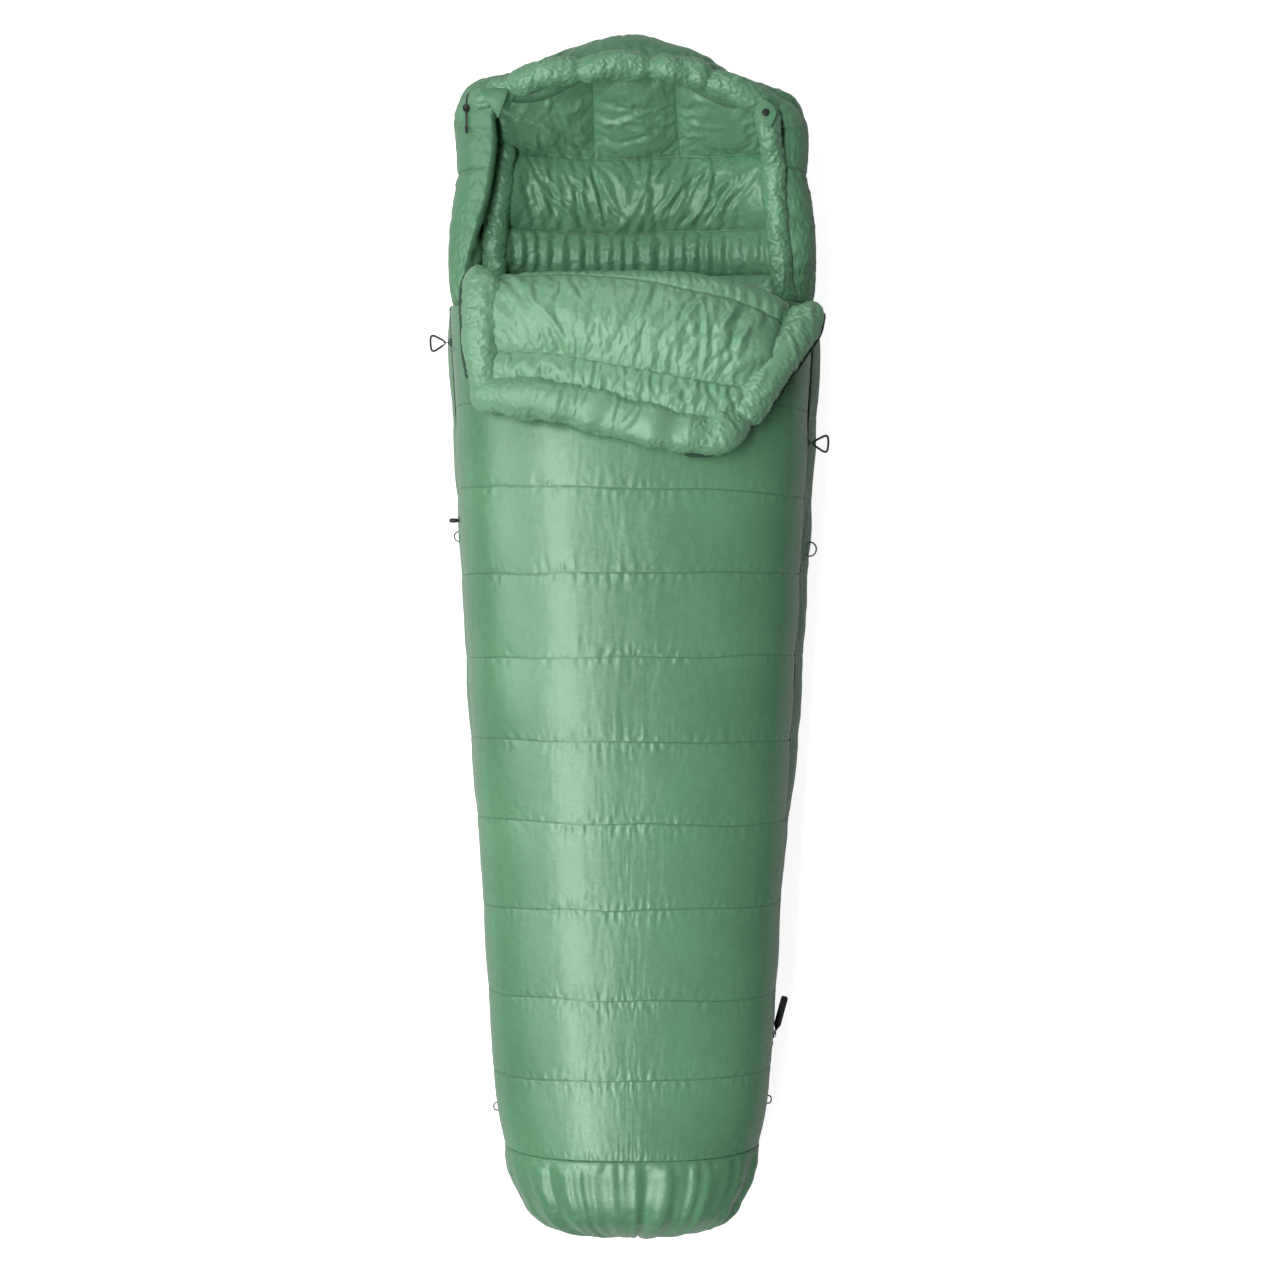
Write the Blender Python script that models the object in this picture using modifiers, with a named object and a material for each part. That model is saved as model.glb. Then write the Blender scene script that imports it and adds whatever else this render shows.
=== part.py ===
"""Mummy sleeping bag: quilted top and under tubes, foot cup, hood, folded chest flap, two side zips
and trims.

Frame: origin on the ground at the middle of the bag's bounding box, +Y towards the hood, +Z up,
+X to the right when looking down on the bag with the hood at the top. Units are metres; the tables
marked mm are small hardware drawn in millimetres.
"""
import math

import bmesh
import bpy
from mathutils import Matrix, Vector

MM = 0.001
LEFT, RIGHT = -1, 1      # sign of X on each side of the bag

# ---------------------------------------------------------------- driving dimensions
ZIP_Z = 0.125            # height of both zip lines above the ground
ZIP_HALF = 0.2398        # half width at the zip line, at Y = ZIP_REF_Y
ZIP_REF_Y = -0.693
ZIP_SLOPE = 0.0573       # widening of the half width per metre towards the head
FOOT_TAPER_Y = -0.70     # footward of this the half width also narrows by a parabola
FOOT_TAPER = 0.46
SEAM_HALF = 0.0012       # from the zip line to the edge of each quilt

FOOT_Y = -0.872          # where the tubes meet the foot cup
FOOT_TIP_Y = -1.038
TOP_END_Y = 0.556        # open end of the top quilt, at the fold
UNDER_END_Y = 0.572      # end of the under quilt, at the hood
HOOD_Y = 0.5745          # open end of the hood

SKIN = 0.0006            # thickness of shell and liner cloth
GAP = 0.0004             # clearance between nested layers
LAYER = SKIN + GAP
TOWARD = 0.002           # step used only to tell which way is inward
TOP_LOFT = 0.030         # insulation thickness
UNDER_LOFT = 0.026

# (Y, height of the crown above the ground) and (Y, superellipse power of the crown)
QUILT_HEIGHTS = ((-0.91, 0.252), (-0.55, 0.250), (-0.20, 0.268), (0.20, 0.287), (0.60, 0.289))
CROWN_POWER = ((-0.91, 2.4), (-0.30, 2.6), (0.30, 2.9), (0.60, 3.0))
UNDER_POWER = 3.5
UNDER_OVERSHOOT = 1.06   # the under section runs this much too deep and is cut flat by the ground

CORD_R = 0.0012

# ---------------------------------------------------------------- scene and collections
for old in list(bpy.data.objects):
    bpy.data.objects.remove(old, do_unlink=True)
PARTS = bpy.data.collections.new("mummy_sleeping_bag")
CUTTERS = bpy.data.collections.new("cutters")
bpy.context.scene.collection.children.link(PARTS)
bpy.context.scene.collection.children.link(CUTTERS)


# ---------------------------------------------------------------- materials
def look(rgb, roughness, metallic=0.0):
    """A finish: 8-bit sRGB colour, roughness and metallic."""
    return {"rgb": rgb, "roughness": roughness, "metallic": metallic}


SHELL = look(rgb=(98, 150, 112), roughness=0.42)
LINER = look(rgb=(104, 156, 118), roughness=0.40)
FILL = look(rgb=(236, 236, 230), roughness=0.9)
TAPE = look(rgb=(40, 72, 54), roughness=0.7)
COIL = look(rgb=(24, 38, 30), roughness=0.45)
METAL = look(rgb=(34, 36, 36), roughness=0.38, metallic=0.9)
PLASTIC = look(rgb=(20, 21, 22), roughness=0.45)
CORD = look(rgb=(34, 40, 38), roughness=0.75)
LOOP = look(rgb=(150, 160, 150), roughness=0.7)
STEEL = look(rgb=(150, 152, 155), roughness=0.3, metallic=1.0)


def linear(channel):
    """8-bit sRGB channel to linear."""
    value = channel / 255.0
    return value / 12.92 if value <= 0.04045 else ((value + 0.055) / 1.055) ** 2.4


def material(name, rgb, roughness, metallic):
    made = bpy.data.materials.new(name)
    made.use_nodes = True
    inputs = made.node_tree.nodes["Principled BSDF"].inputs
    inputs["Base Color"].default_value = (*[linear(channel) for channel in rgb], 1.0)
    inputs["Roughness"].default_value = roughness
    inputs["Metallic"].default_value = metallic
    return made


# ---------------------------------------------------------------- objects
def add_object(name, data, finish, collection=PARTS):
    """Links a new object and gives it its own material."""
    obj = bpy.data.objects.new(name, data)
    data.materials.append(material(obj.name + "_mat", **finish))
    collection.objects.link(obj)
    return obj


def mesh_object(name, mesh, finish, smooth=True, collection=PARTS):
    """Turns a bmesh into an object and frees it."""
    data = bpy.data.meshes.new(name)
    mesh.to_mesh(data)
    mesh.free()
    obj = add_object(name, data, finish, collection)
    if smooth:
        data.shade_smooth()
        data.set_sharp_from_angle(angle=math.radians(40.0))
    return obj


def tool_object(name, mesh, finish):
    """A hidden helper for a Boolean modifier."""
    tool = mesh_object(name, mesh, finish, smooth=False, collection=CUTTERS)
    tool.hide_render = True
    tool.display_type = "WIRE"
    return tool


def add_boolean(obj, name, operation, tool):
    modifier = obj.modifiers.new(name, "BOOLEAN")
    modifier.operation = operation
    modifier.object = tool


def add_cloth(obj):
    """Thickens an open surface inward."""
    modifier = obj.modifiers.new("cloth", "SOLIDIFY")
    modifier.thickness = SKIN
    modifier.offset = -1.0


def basis(x_axis, y_axis, z_axis, origin=(0, 0, 0)):
    """Matrix with the given columns."""
    matrix = Matrix.Identity(4)
    for column, axis in enumerate((x_axis, y_axis, z_axis)):
        for row in range(3):
            matrix[row][column] = axis[row]
    matrix.translation = Vector(origin)
    return matrix


# ---------------------------------------------------------------- grid meshes
def strip(mesh, first, second, ring=False):
    """Triangles between two rows of vertices."""
    count = len(first)
    for j in range(count if ring else count - 1):
        k = (j + 1) % count
        mesh.faces.new((first[j], first[k], second[k]))
        mesh.faces.new((first[j], second[k], second[j]))


def add_grid(mesh, rows, ring=False):
    grid = [[mesh.verts.new(point) for point in row] for row in rows]
    for first, second in zip(grid, grid[1:]):
        strip(mesh, first, second, ring)
    return grid


def reverse_all(mesh):
    bmesh.ops.reverse_faces(mesh, faces=mesh.faces[:])


def face_outward(mesh):
    """Makes the faces of a closed mesh point outward."""
    bmesh.ops.recalc_face_normals(mesh, faces=mesh.faces[:])
    if mesh.calc_volume(signed=True) < 0:
        reverse_all(mesh)


def pad(name, outer, inner, finish):
    """A solid lofted between two surfaces that share one layout of rows."""
    mesh = bmesh.new()
    outer_grid = add_grid(mesh, outer)
    inner_grid = add_grid(mesh, inner)
    for end in (0, -1):
        strip(mesh, outer_grid[end], inner_grid[end])
    for end in (0, -1):
        strip(mesh, [row[end] for row in outer_grid], [row[end] for row in inner_grid])
    face_outward(mesh)
    mesh_object(name, mesh, finish)


def cloth(name, surface, toward, finish):
    """Cloth over a grid of points; toward is a grid just inside, which says which way is inward."""
    mesh = bmesh.new()
    add_grid(mesh, surface)
    mesh.normal_update()
    i, j = len(surface) // 2, len(surface[0]) // 2
    middle = surface[i][j]
    face = min(mesh.faces, key=lambda f: (f.calc_center_median() - middle).length)
    if face.normal.dot(toward[i][j] - middle) > 0:
        reverse_all(mesh)
    add_cloth(mesh_object(name, mesh, finish))


def three_layers(stem, surface, loft):
    """Shell, insulation and liner; surface(offset) returns rows of points, outward positive."""
    fill_outer = -LAYER
    fill_inner = fill_outer - loft
    liner = fill_inner - GAP
    cloth(stem + "_shell", surface(0.0), surface(-TOWARD), SHELL)
    pad(stem + "_fill", surface(fill_outer), surface(fill_inner), FILL)
    cloth(stem + "_liner", surface(liner), surface(liner - TOWARD), LINER)


# ---------------------------------------------------------------- body surfaces
def interpolate(table, y):
    """Linear interpolation of (y, value) stations, held constant past both ends."""
    if y <= table[0][0]:
        return table[0][1]
    for (y0, value0), (y1, value1) in zip(table, table[1:]):
        if y <= y1:
            return value0 + (value1 - value0) * (y - y0) / (y1 - y0)
    return table[-1][1]


def ease(value):
    """Smoothstep of a value clamped to 0..1."""
    value = min(max(value, 0.0), 1.0)
    return value * value * (3 - 2 * value)


def zip_half(y):
    """Half width of the bag at the zip line."""
    half = ZIP_HALF + ZIP_SLOPE * (y - ZIP_REF_Y)
    if y < FOOT_TAPER_Y:
        half -= FOOT_TAPER * (FOOT_TAPER_Y - y) ** 2
    return half


def section(theta, half_width, height, power, offset=0.0):
    """Point on the upper half of a superellipse, theta 0..pi, moved outward by offset."""
    cosine, sine = math.cos(theta), max(math.sin(theta), 0.0)
    exponent = 2.0 / power
    x = math.copysign(abs(cosine) ** exponent, cosine) * half_width
    z = (sine ** exponent) * height
    normal_x = math.copysign(abs(cosine) ** (2 - exponent), cosine) / half_width
    normal_z = (sine ** (2 - exponent)) / height
    length = math.hypot(normal_x, normal_z)
    return x + offset * normal_x / length, z + offset * normal_z / length


def even_angles(half_width, height, power, count):
    """Angles that split a superellipse arc into count nearly equal lengths."""
    steps = 400
    fine = [math.pi * i / steps for i in range(steps + 1)]
    points = [section(theta, half_width, height, power) for theta in fine]
    run = [0.0]
    for start, end in zip(points, points[1:]):
        run.append(run[-1] + math.dist(start, end))
    angles, k = [], 0
    for i in range(count + 1):
        want = run[-1] * i / count
        while k < steps - 1 and run[k + 1] < want:
            k += 1
        part = (want - run[k]) / max(run[k + 1] - run[k], 1e-12)
        angles.append(fine[k] + (fine[k + 1] - fine[k]) * min(max(part, 0.0), 1.0))
    angles[0], angles[-1] = 0.0, math.pi
    return angles


def top_point(theta, y, offset=0.0):
    edge_z = ZIP_Z + SEAM_HALF
    height = interpolate(QUILT_HEIGHTS, y) - edge_z
    x, z = section(theta, zip_half(y), height, interpolate(CROWN_POWER, y), offset)
    return Vector((x, y, edge_z + z))


def under_point(theta, y, offset=0.0):
    edge_z = ZIP_Z - SEAM_HALF
    shape = (theta, zip_half(y), edge_z * UNDER_OVERSHOOT, UNDER_POWER)
    x, depth = section(*shape)
    if depth >= edge_z:                                   # the flat that lies on the ground
        return Vector((x, y, -offset))
    x, depth = section(*shape, offset)
    return Vector((x, y, max(edge_z - depth, -offset)))


def on_quilt(x, y, offset):
    """Point above the top quilt at plan position x, y, offset along its normal."""
    cosine = min((abs(x) / zip_half(y)) ** (interpolate(CROWN_POWER, y) / 2.0), 0.999)
    theta = math.acos(cosine)
    return top_point(theta if x >= 0 else math.pi - theta, y, offset)


# ---------------------------------------------------------------- top and under quilts
# typical sections, used to space the columns of the grids
TOP_ANGLES = even_angles(half_width=0.28, height=0.155, power=2.8, count=14)
UNDER_ANGLES = even_angles(half_width=0.28, height=0.131, power=UNDER_POWER, count=14)
QUILT_ROWS = (FOOT_Y, -0.83, -0.76, -0.66, -0.45, -0.20, 0.05, 0.30)      # Y


def quilt_surface(point, angles, end_y):
    def surface(offset):
        return [[point(theta, y, offset) for theta in angles] for y in (*QUILT_ROWS, end_y)]
    return surface


three_layers("top_quilt", quilt_surface(top_point, TOP_ANGLES, TOP_END_Y), TOP_LOFT)
three_layers("under_quilt", quilt_surface(under_point, UNDER_ANGLES, UNDER_END_Y), UNDER_LOFT)

# ---------------------------------------------------------------- foot cup
FOOT_MOUTH_Y = FOOT_Y - 0.002
FOOT_HEIGHT = 0.127      # of the mouth, above the zip line
FOOT_TOP_POWER = 2.6
FOOT_UNDER_POWER = 3.2
FOOT_TIP_RISE = 0.01     # the tip above the zip line
FOOT_TIP_REACH = 0.0012  # the tip past the last ring
FOOT_FILL = (-0.0011, -0.0290)            # outer and inner offset of the padding
FOOT_LINER = -0.0312
# (fraction of the length from mouth to tip, width factor, height factor)
FOOT_STATIONS = (
    (0.0, 1.000, 1.00), (0.28, 0.985, 0.985), (0.54, 0.905, 0.94), (0.76, 0.82, 0.84),
    (0.88, 0.71, 0.70), (0.96, 0.54, 0.54), (1.0, 0.36, 0.38),
)
FOOT_UPPER_ANGLES = even_angles(half_width=0.21, height=0.126, power=2.6, count=11)[:-1]
FOOT_LOWER_ANGLES = even_angles(half_width=0.21, height=0.126, power=3.0, count=11)[:0:-1]


def add_foot(mesh, offset):
    """Adds the cup, moved outward by offset, as rings closed by a fan; returns the mouth ring."""
    length = FOOT_MOUTH_Y - FOOT_TIP_Y + offset
    rows = []
    for fraction, wide, tall in FOOT_STATIONS:
        y = FOOT_MOUTH_Y - length * fraction
        half = zip_half(FOOT_MOUTH_Y) * wide + offset
        height = FOOT_HEIGHT * tall + offset
        depth = ZIP_Z * (0.35 + 0.65 * tall) + offset     # the underside tapers less than the top
        row = []
        for theta in FOOT_UPPER_ANGLES:
            x, z = section(theta, half, height, FOOT_TOP_POWER)
            row.append(Vector((x, y, ZIP_Z + z)))
        for theta in FOOT_LOWER_ANGLES:
            x, z = section(theta, half, depth, FOOT_UNDER_POWER)
            row.append(Vector((x, y, ZIP_Z - z)))
        rows.append(row)
    grid = add_grid(mesh, rows, ring=True)
    tip = mesh.verts.new((0.0, FOOT_MOUTH_Y - length - FOOT_TIP_REACH, ZIP_Z + FOOT_TIP_RISE))
    last = grid[-1]
    for j in range(len(last)):
        mesh.faces.new((last[j], last[(j + 1) % len(last)], tip))
    return grid[0]


def foot_cloth(name, offset, finish):
    mesh = bmesh.new()
    add_foot(mesh, offset)
    bmesh.ops.recalc_face_normals(mesh, faces=mesh.faces[:])
    mesh.normal_update()
    if max(mesh.faces, key=lambda f: f.calc_center_median().z).normal.z < 0:
        reverse_all(mesh)
    add_cloth(mesh_object(name, mesh, finish))


def foot_pad():
    mesh = bmesh.new()
    mouths = [add_foot(mesh, offset) for offset in FOOT_FILL]
    strip(mesh, *mouths, ring=True)
    face_outward(mesh)
    mesh_object("foot_fill", mesh, FILL)


foot_cloth("foot_shell", 0.0, SHELL)
foot_pad()
foot_cloth("foot_liner", FOOT_LINER, LINER)

# ---------------------------------------------------------------- hood wall
WALL_DEPTH = 0.090       # of the wall's C section
WALL_THICKNESS = 0.032
WALL_LOW_ANGLE = -84.0   # degrees, lower end of the C section
WALL_HIGH_ANGLE = 62.0   # degrees, upper end at the sides
WALL_CROWN_EXTRA = 22.0  # added to the upper end at the crown
WALL_POINTS = 8          # round the C section
# outline in plan (X, Y), from the right open end round the crown to the left open end
WALL_PATH = (
    (0.3125, HOOD_Y), (0.308, 0.66), (0.302, 0.74), (0.297, 0.82), (0.292, 0.885),
    (0.280, 0.926), (0.238, 0.950), (0.196, 0.973), (0.140, 0.999), (0.075, 1.027),
    (0.0, 1.037), (-0.075, 1.029), (-0.140, 1.009), (-0.196, 0.989), (-0.240, 0.971),
    (-0.281, 0.950), (-0.293, 0.910), (-0.298, 0.84), (-0.303, 0.76), (-0.308, 0.67),
    (-0.3125, HOOD_Y),
)
# (Y, height of the wall)
WALL_TOP = (
    (HOOD_Y, 0.150), (0.66, 0.176), (0.76, 0.188), (0.93, 0.190), (1.00, 0.212), (1.04, 0.222),
)


def wall_stations():
    """Plan point, inward direction, height and upper section angle at each outline point."""
    run = [0.0]
    for start, end in zip(WALL_PATH, WALL_PATH[1:]):
        run.append(run[-1] + math.dist(start, end))
    stations = []
    for (x, y), distance in zip(WALL_PATH, run):
        fraction = distance / run[-1]
        # inward is across the bag along the sides and turns towards the foot at the crown
        turn = ease((min(fraction, 1 - fraction) - 0.16) / 0.30)
        angle = math.pi + turn * math.pi / 2
        if x == 0.0:
            inward = Vector((0.0, -1.0, 0.0))
        else:
            inward = Vector((math.cos(angle) * math.copysign(1.0, x), math.sin(angle), 0.0))
        high_angle = WALL_HIGH_ANGLE + WALL_CROWN_EXTRA * turn
        stations.append((Vector((x, y, 0.0)), inward, interpolate(WALL_TOP, y), high_angle))
    return stations


WALL_STATIONS = wall_stations()


def wall_surface(offset):
    exponent = 0.8       # squares the C section slightly
    rows = []
    for foot, inward, height, high_angle in WALL_STATIONS:
        row = []
        for k in range(WALL_POINTS):
            sweep = (high_angle - WALL_LOW_ANGLE) * k / (WALL_POINTS - 1)
            theta = math.radians(WALL_LOW_ANGLE + sweep)
            cosine = abs(math.cos(theta)) ** exponent
            sine = math.copysign(abs(math.sin(theta)) ** exponent, math.sin(theta))
            depth = WALL_DEPTH - (WALL_DEPTH + offset) * cosine
            z = height / 2 + (height / 2 + offset) * sine
            row.append(foot + inward * depth + Vector((0, 0, z)))
        rows.append(row)
    return rows


three_layers("hood_wall", wall_surface, WALL_THICKNESS - 2 * LAYER)

# ---------------------------------------------------------------- hood back: the padded floor, rising at its head end
# (Y, half width)
BACK_HALF = (
    (HOOD_Y, 0.225), (0.74, 0.212), (0.82, 0.199), (0.865, 0.176), (0.90, 0.140),
    (0.925, 0.100), (0.945, 0.050),
)
BACK_Y = (HOOD_Y, 0.64, 0.70, 0.76, 0.81, 0.85, 0.88, 0.905, 0.925, 0.945)
BACK_LOW = 0.040         # height of the level part
BACK_RISE = 0.085
BACK_RISE_Y = 0.79       # where the rise starts
BACK_RISE_LENGTH = 0.13
BACK_CLEARANCE = 0.0012  # between the padding and the nominal surface of each cloth


def back_top(y):
    return BACK_LOW + BACK_RISE * ease((y - BACK_RISE_Y) / BACK_RISE_LENGTH)


def back_rows(height):
    """Rows across the floor at height(y)."""
    return [[Vector((interpolate(BACK_HALF, y) * (i / 5.0 - 1.0), y, height(y)))
             for i in range(11)] for y in BACK_Y]


cloth("hood_back_shell", back_rows(lambda y: 0.0), back_rows(lambda y: 0.01), SHELL)
pad("hood_back_fill", back_rows(lambda y: back_top(y) - BACK_CLEARANCE),
    back_rows(lambda y: BACK_CLEARANCE), FILL)
cloth("hood_back_liner", back_rows(back_top), back_rows(lambda y: back_top(y) - 0.01), LINER)


# ---------------------------------------------------------------- tubes and cords
def tube(name, points, finish, radius, factors=None, cyclic=False, resolution=2):
    """A padded tube or cord: a poly curve with a round bevel; factors scale the radius."""
    curve = bpy.data.curves.new(name, "CURVE")
    curve.dimensions = "3D"
    curve.bevel_depth = radius
    curve.bevel_resolution = resolution
    curve.use_fill_caps = not cyclic
    spline = curve.splines.new("POLY")
    spline.points.add(len(points) - 1)
    for k, (x, y, z) in enumerate(points):
        spline.points[k].co = (x, y, z, 1.0)
        spline.points[k].radius = factors[k] if factors else 1.0
    spline.use_cyclic_u = cyclic
    return add_object(name, curve, finish)


def padded_tube(name, points, radius, end_factor=0.55):
    """A lined tube whose two ends are rounded off in two steps."""
    factors = [end_factor, 0.88] + [1.0] * (len(points) - 4) + [0.88, end_factor]
    return tube(name, points, LINER, radius, factors)


def smooth_path(keys, per):
    """Catmull-Rom path through the keys, per points to each span."""
    keys = [Vector(point) for point in keys]
    path = []
    for i in range(len(keys) - 1):
        before, start = keys[max(i - 1, 0)], keys[i]
        end, after = keys[i + 1], keys[min(i + 2, len(keys) - 1)]
        for j in range(per):
            t = j / per
            path.append(0.5 * ((2 * start) + (end - before) * t
                               + (2 * before - 5 * start + 4 * end - after) * t * t
                               + (3 * start - before - 3 * end + after) * t ** 3))
    path.append(keys[-1])
    return path


# ---------------------------------------------------------------- tubes inside the hood
RIM_R = 0.0235
DRAFT_R = 0.0185
COLLAR_R = 0.042
COLLAR_Y = 0.674
COLLAR_Z = 0.061
COLLAR_FLATTEN = 0.44    # vertical scale
# centre lines, X Y Z
RIM_KEYS = (
    (-0.232, 0.897, 0.222), (-0.196, 0.913, 0.236), (-0.136, 0.931, 0.249),
    (-0.060, 0.943, 0.2505), (0.0, 0.946, 0.2505), (0.055, 0.943, 0.2505),
    (0.113, 0.931, 0.249), (0.170, 0.911, 0.242), (0.205, 0.899, 0.232),
)
RIGHT_DRAFT_KEYS = (
    (0.250, 0.580, 0.150), (0.246, 0.66, 0.172), (0.238, 0.76, 0.186), (0.231, 0.86, 0.192),
)
LEFT_DRAFT_KEYS = (
    (-0.236, 0.580, 0.092), (-0.232, 0.68, 0.100), (-0.226, 0.78, 0.108), (-0.220, 0.87, 0.112),
)


def draft_collar():
    """A flattened tube lying across the hood's open end."""
    points = [(x / 10.0, COLLAR_Y + 0.004 * math.cos(x * 1.3), COLLAR_Z)
              for x in (-2.0, -1.9, -1.2, -0.4, 0.4, 1.2, 1.9, 2.0)]
    collar = padded_tube("draft_collar", points, COLLAR_R)
    collar.scale = (1, 1, COLLAR_FLATTEN)
    collar.location = (0, 0, COLLAR_Z * (1 - COLLAR_FLATTEN))


padded_tube("hood_rim_tube", smooth_path(RIM_KEYS, 2), RIM_R, end_factor=0.6)
padded_tube("right_draft_tube", smooth_path(RIGHT_DRAFT_KEYS, 3), DRAFT_R)
padded_tube("left_draft_tube", smooth_path(LEFT_DRAFT_KEYS, 3), DRAFT_R)
draft_collar()

# ---------------------------------------------------------------- zip lines
LEFT_SLIDER_Y = 0.509
LEFT_LOWER_Y = 0.201
RIGHT_SLIDER_Y = 0.335
RIGHT_LOWER_Y = -0.689
# spans across the zip (from its centre line) and outward from it
TAPE_ACROSS, TAPE_OUT = (0.0010, 0.0140), (0.0026, 0.0031)
COIL_ACROSS, COIL_OUT = (0.0010, 0.0038), (0.0033, 0.0045)
STOP_ACROSS, STOP_OUT = (-0.0060, 0.0060), (0.0012, 0.0050)
TAPE_PAST_SLIDER = 0.012 # tape running footward of the lower slider's centre
TAPE_SHORT = 0.002       # the tape's head end falls short of the quilt's by this
COIL_INSET = 0.004       # the coil starts this far headward of the tape
STOP_FAR, STOP_NEAR = 0.006, 0.001        # ends of the stop, footward of the tape


def zip_frame(side, y):
    """World matrix at a point of a zip line: x outward, y towards the head, z up.

    The left side's frame is mirrored.
    """
    along = Vector((side * ZIP_SLOPE, 1.0, 0.0)).normalized()
    outward = Vector((along.y * side, -along.x * side, 0.0))
    return basis(outward, along, (0, 0, 1), (side * zip_half(y), y, ZIP_Z))


def zip_strip(name, side, y0, y1, across, outward, finish):
    """A straight length of tape or coil, or a stop, from y0 to y1."""
    frame = zip_frame(side, (y0 + y1) / 2)
    length = (y1 - y0) * math.hypot(1.0, ZIP_SLOPE)
    mesh = bmesh.new()
    bmesh.ops.create_cube(mesh, size=1.0)
    for vert in mesh.verts:
        x, y, z = vert.co
        vert.co = (sum(outward) / 2 + x * (outward[1] - outward[0]), y * length,
                   sum(across) / 2 + z * (across[1] - across[0]))
    strip_obj = mesh_object(name, mesh, finish, smooth=False)
    if side == LEFT:
        # a mirrored frame is baked into the mesh
        strip_obj.data.flip_normals()
        strip_obj.data.transform(frame)
    else:
        strip_obj.matrix_world = frame


def zip_line(tag, side, lower_slider_y):
    low = lower_slider_y - TAPE_PAST_SLIDER
    for half, sign, quilt_end in (("under", -1, UNDER_END_Y), ("top", 1, TOP_END_Y)):
        high = quilt_end - TAPE_SHORT
        tape_across = sorted(sign * edge for edge in TAPE_ACROSS)
        coil_across = sorted(sign * edge for edge in COIL_ACROSS)
        zip_strip(f"{tag}_zip_tape_{half}", side, low, high, tape_across, TAPE_OUT, TAPE)
        zip_strip(f"{tag}_zip_coil_{half}", side, low + COIL_INSET, high, coil_across, COIL_OUT,
                  COIL)
    zip_strip(f"{tag}_zip_stop", side, low - STOP_FAR, low - STOP_NEAR, STOP_ACROSS, STOP_OUT,
              METAL)


zip_line("left", LEFT, LEFT_LOWER_Y)
zip_line("right", RIGHT, RIGHT_LOWER_Y)


# ---------------------------------------------------------------- flat stamped solids
def flat_solid(loops, half, matrix):
    """Closed bmesh of an outline with holes, in mm, extruded by half to both faces."""
    curve = bpy.data.curves.new("outline", "CURVE")
    curve.dimensions = "2D"
    curve.fill_mode = "BOTH"
    curve.extrude = half * MM
    for loop in loops:
        spline = curve.splines.new("POLY")
        spline.points.add(len(loop) - 1)
        for k, (x, y) in enumerate(loop):
            spline.points[k].co = (x * MM, y * MM, 0.0, 1.0)
        spline.use_cyclic_u = True
    obj = bpy.data.objects.new("outline", curve)
    bpy.context.scene.collection.objects.link(obj)
    bpy.context.view_layer.update()
    evaluated = obj.evaluated_get(bpy.context.evaluated_depsgraph_get())
    data = bpy.data.meshes.new_from_object(evaluated)
    bpy.data.objects.remove(obj, do_unlink=True)
    mesh = bmesh.new()
    mesh.from_mesh(data)
    bpy.data.meshes.remove(data)
    bmesh.ops.remove_doubles(mesh, verts=mesh.verts[:], dist=1e-6)
    bmesh.ops.transform(mesh, matrix=matrix, verts=mesh.verts[:])
    face_outward(mesh)
    return mesh


# planes in a zip frame, for outlines whose y is outward
ACROSS_PLANE = basis((0, 0, 1), (1, 0, 0), (0, 1, 0))     # x across the zip, extruded along it
ALONG_PLANE = basis((0, 1, 0), (1, 0, 0), (0, 0, 1))      # x along the zip, extruded across it

# ---------------------------------------------------------------- sliders
SLIDER_HALF_LENGTH = 6.5 # mm
BRIDGE_HALF_WIDTH = 0.8  # mm
# mm: (across the zip, outward), two plates joined by a web
SLIDER_PROFILE = (
    (-5, .6), (5, .6), (5, 1.9), (.7, 1.9), (.7, 4.9), (4.2, 4.9), (4.2, 3.5), (5, 3.5),
    (5, 6.2), (-5, 6.2), (-5, 3.5), (-4.2, 3.5), (-4.2, 4.9), (-.7, 4.9), (-.7, 1.9), (-5, 1.9),
)
# mm: (along the zip, outward), an arch over the outer plate
BRIDGE_PROFILE = (
    (-4.6, 6.0), (-3.4, 6.0), (-3.4, 7.9), (-2.8, 8.5), (2.8, 8.5), (3.4, 7.9),
    (3.4, 6.0), (4.6, 6.0), (4.6, 8.6), (3.6, 9.7), (-3.6, 9.7), (-4.6, 8.6),
)


def slider(name, side, y):
    frame = zip_frame(side, y)
    plates = flat_solid([SLIDER_PROFILE], SLIDER_HALF_LENGTH, frame @ ACROSS_PLANE)
    bridge = flat_solid([BRIDGE_PROFILE], BRIDGE_HALF_WIDTH, frame @ ALONG_PLANE)
    obj = mesh_object(name, plates, METAL, smooth=False)
    add_boolean(obj, "bridge", "UNION", tool_object(name + "_bridge_tool", bridge, METAL))


slider("left_slider", LEFT, LEFT_SLIDER_Y)
slider("right_slider", RIGHT, RIGHT_SLIDER_Y)
slider("left_lower_slider", LEFT, LEFT_LOWER_Y)
slider("right_lower_slider", RIGHT, RIGHT_LOWER_Y)

# ---------------------------------------------------------------- slider pulls
TAB_HOLE_AT = 15.2       # mm outward
TAB_HOLE_R = 1.6         # mm
TAB_HOLE = [(TAB_HOLE_R * math.cos(math.tau * k / 12),
             TAB_HOLE_AT + TAB_HOLE_R * math.sin(math.tau * k / 12)) for k in range(12)]
# mm: (across the zip, outward); the window is the opening round the slider's bridge
PULL_WINDOW = ((-1.2, 7.9), (-1.2, 12.6), (1.2, 12.6), (1.2, 7.9))
TAB_OUTLINE = (
    (-2.4, 6.7), (2.4, 6.7), (2.4, 14.5), (1.6, 17.2), (0.6, 18.2), (-0.6, 18.2),
    (-1.6, 17.2), (-2.4, 14.5),
)
LEAF_OUTLINE = (
    (-2.4, 6.7), (2.4, 6.7), (2.4, 11.0), (3.4, 15.0), (3.4, 20.0), (1.6, 25.0),
    (-1.6, 25.0), (-3.4, 20.0), (-3.4, 15.0), (-2.4, 11.0),
)
STRAP_RING_OUTLINE = ((-2.4, 6.7), (2.4, 6.7), (2.4, 14.6), (-2.4, 14.6))
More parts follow.
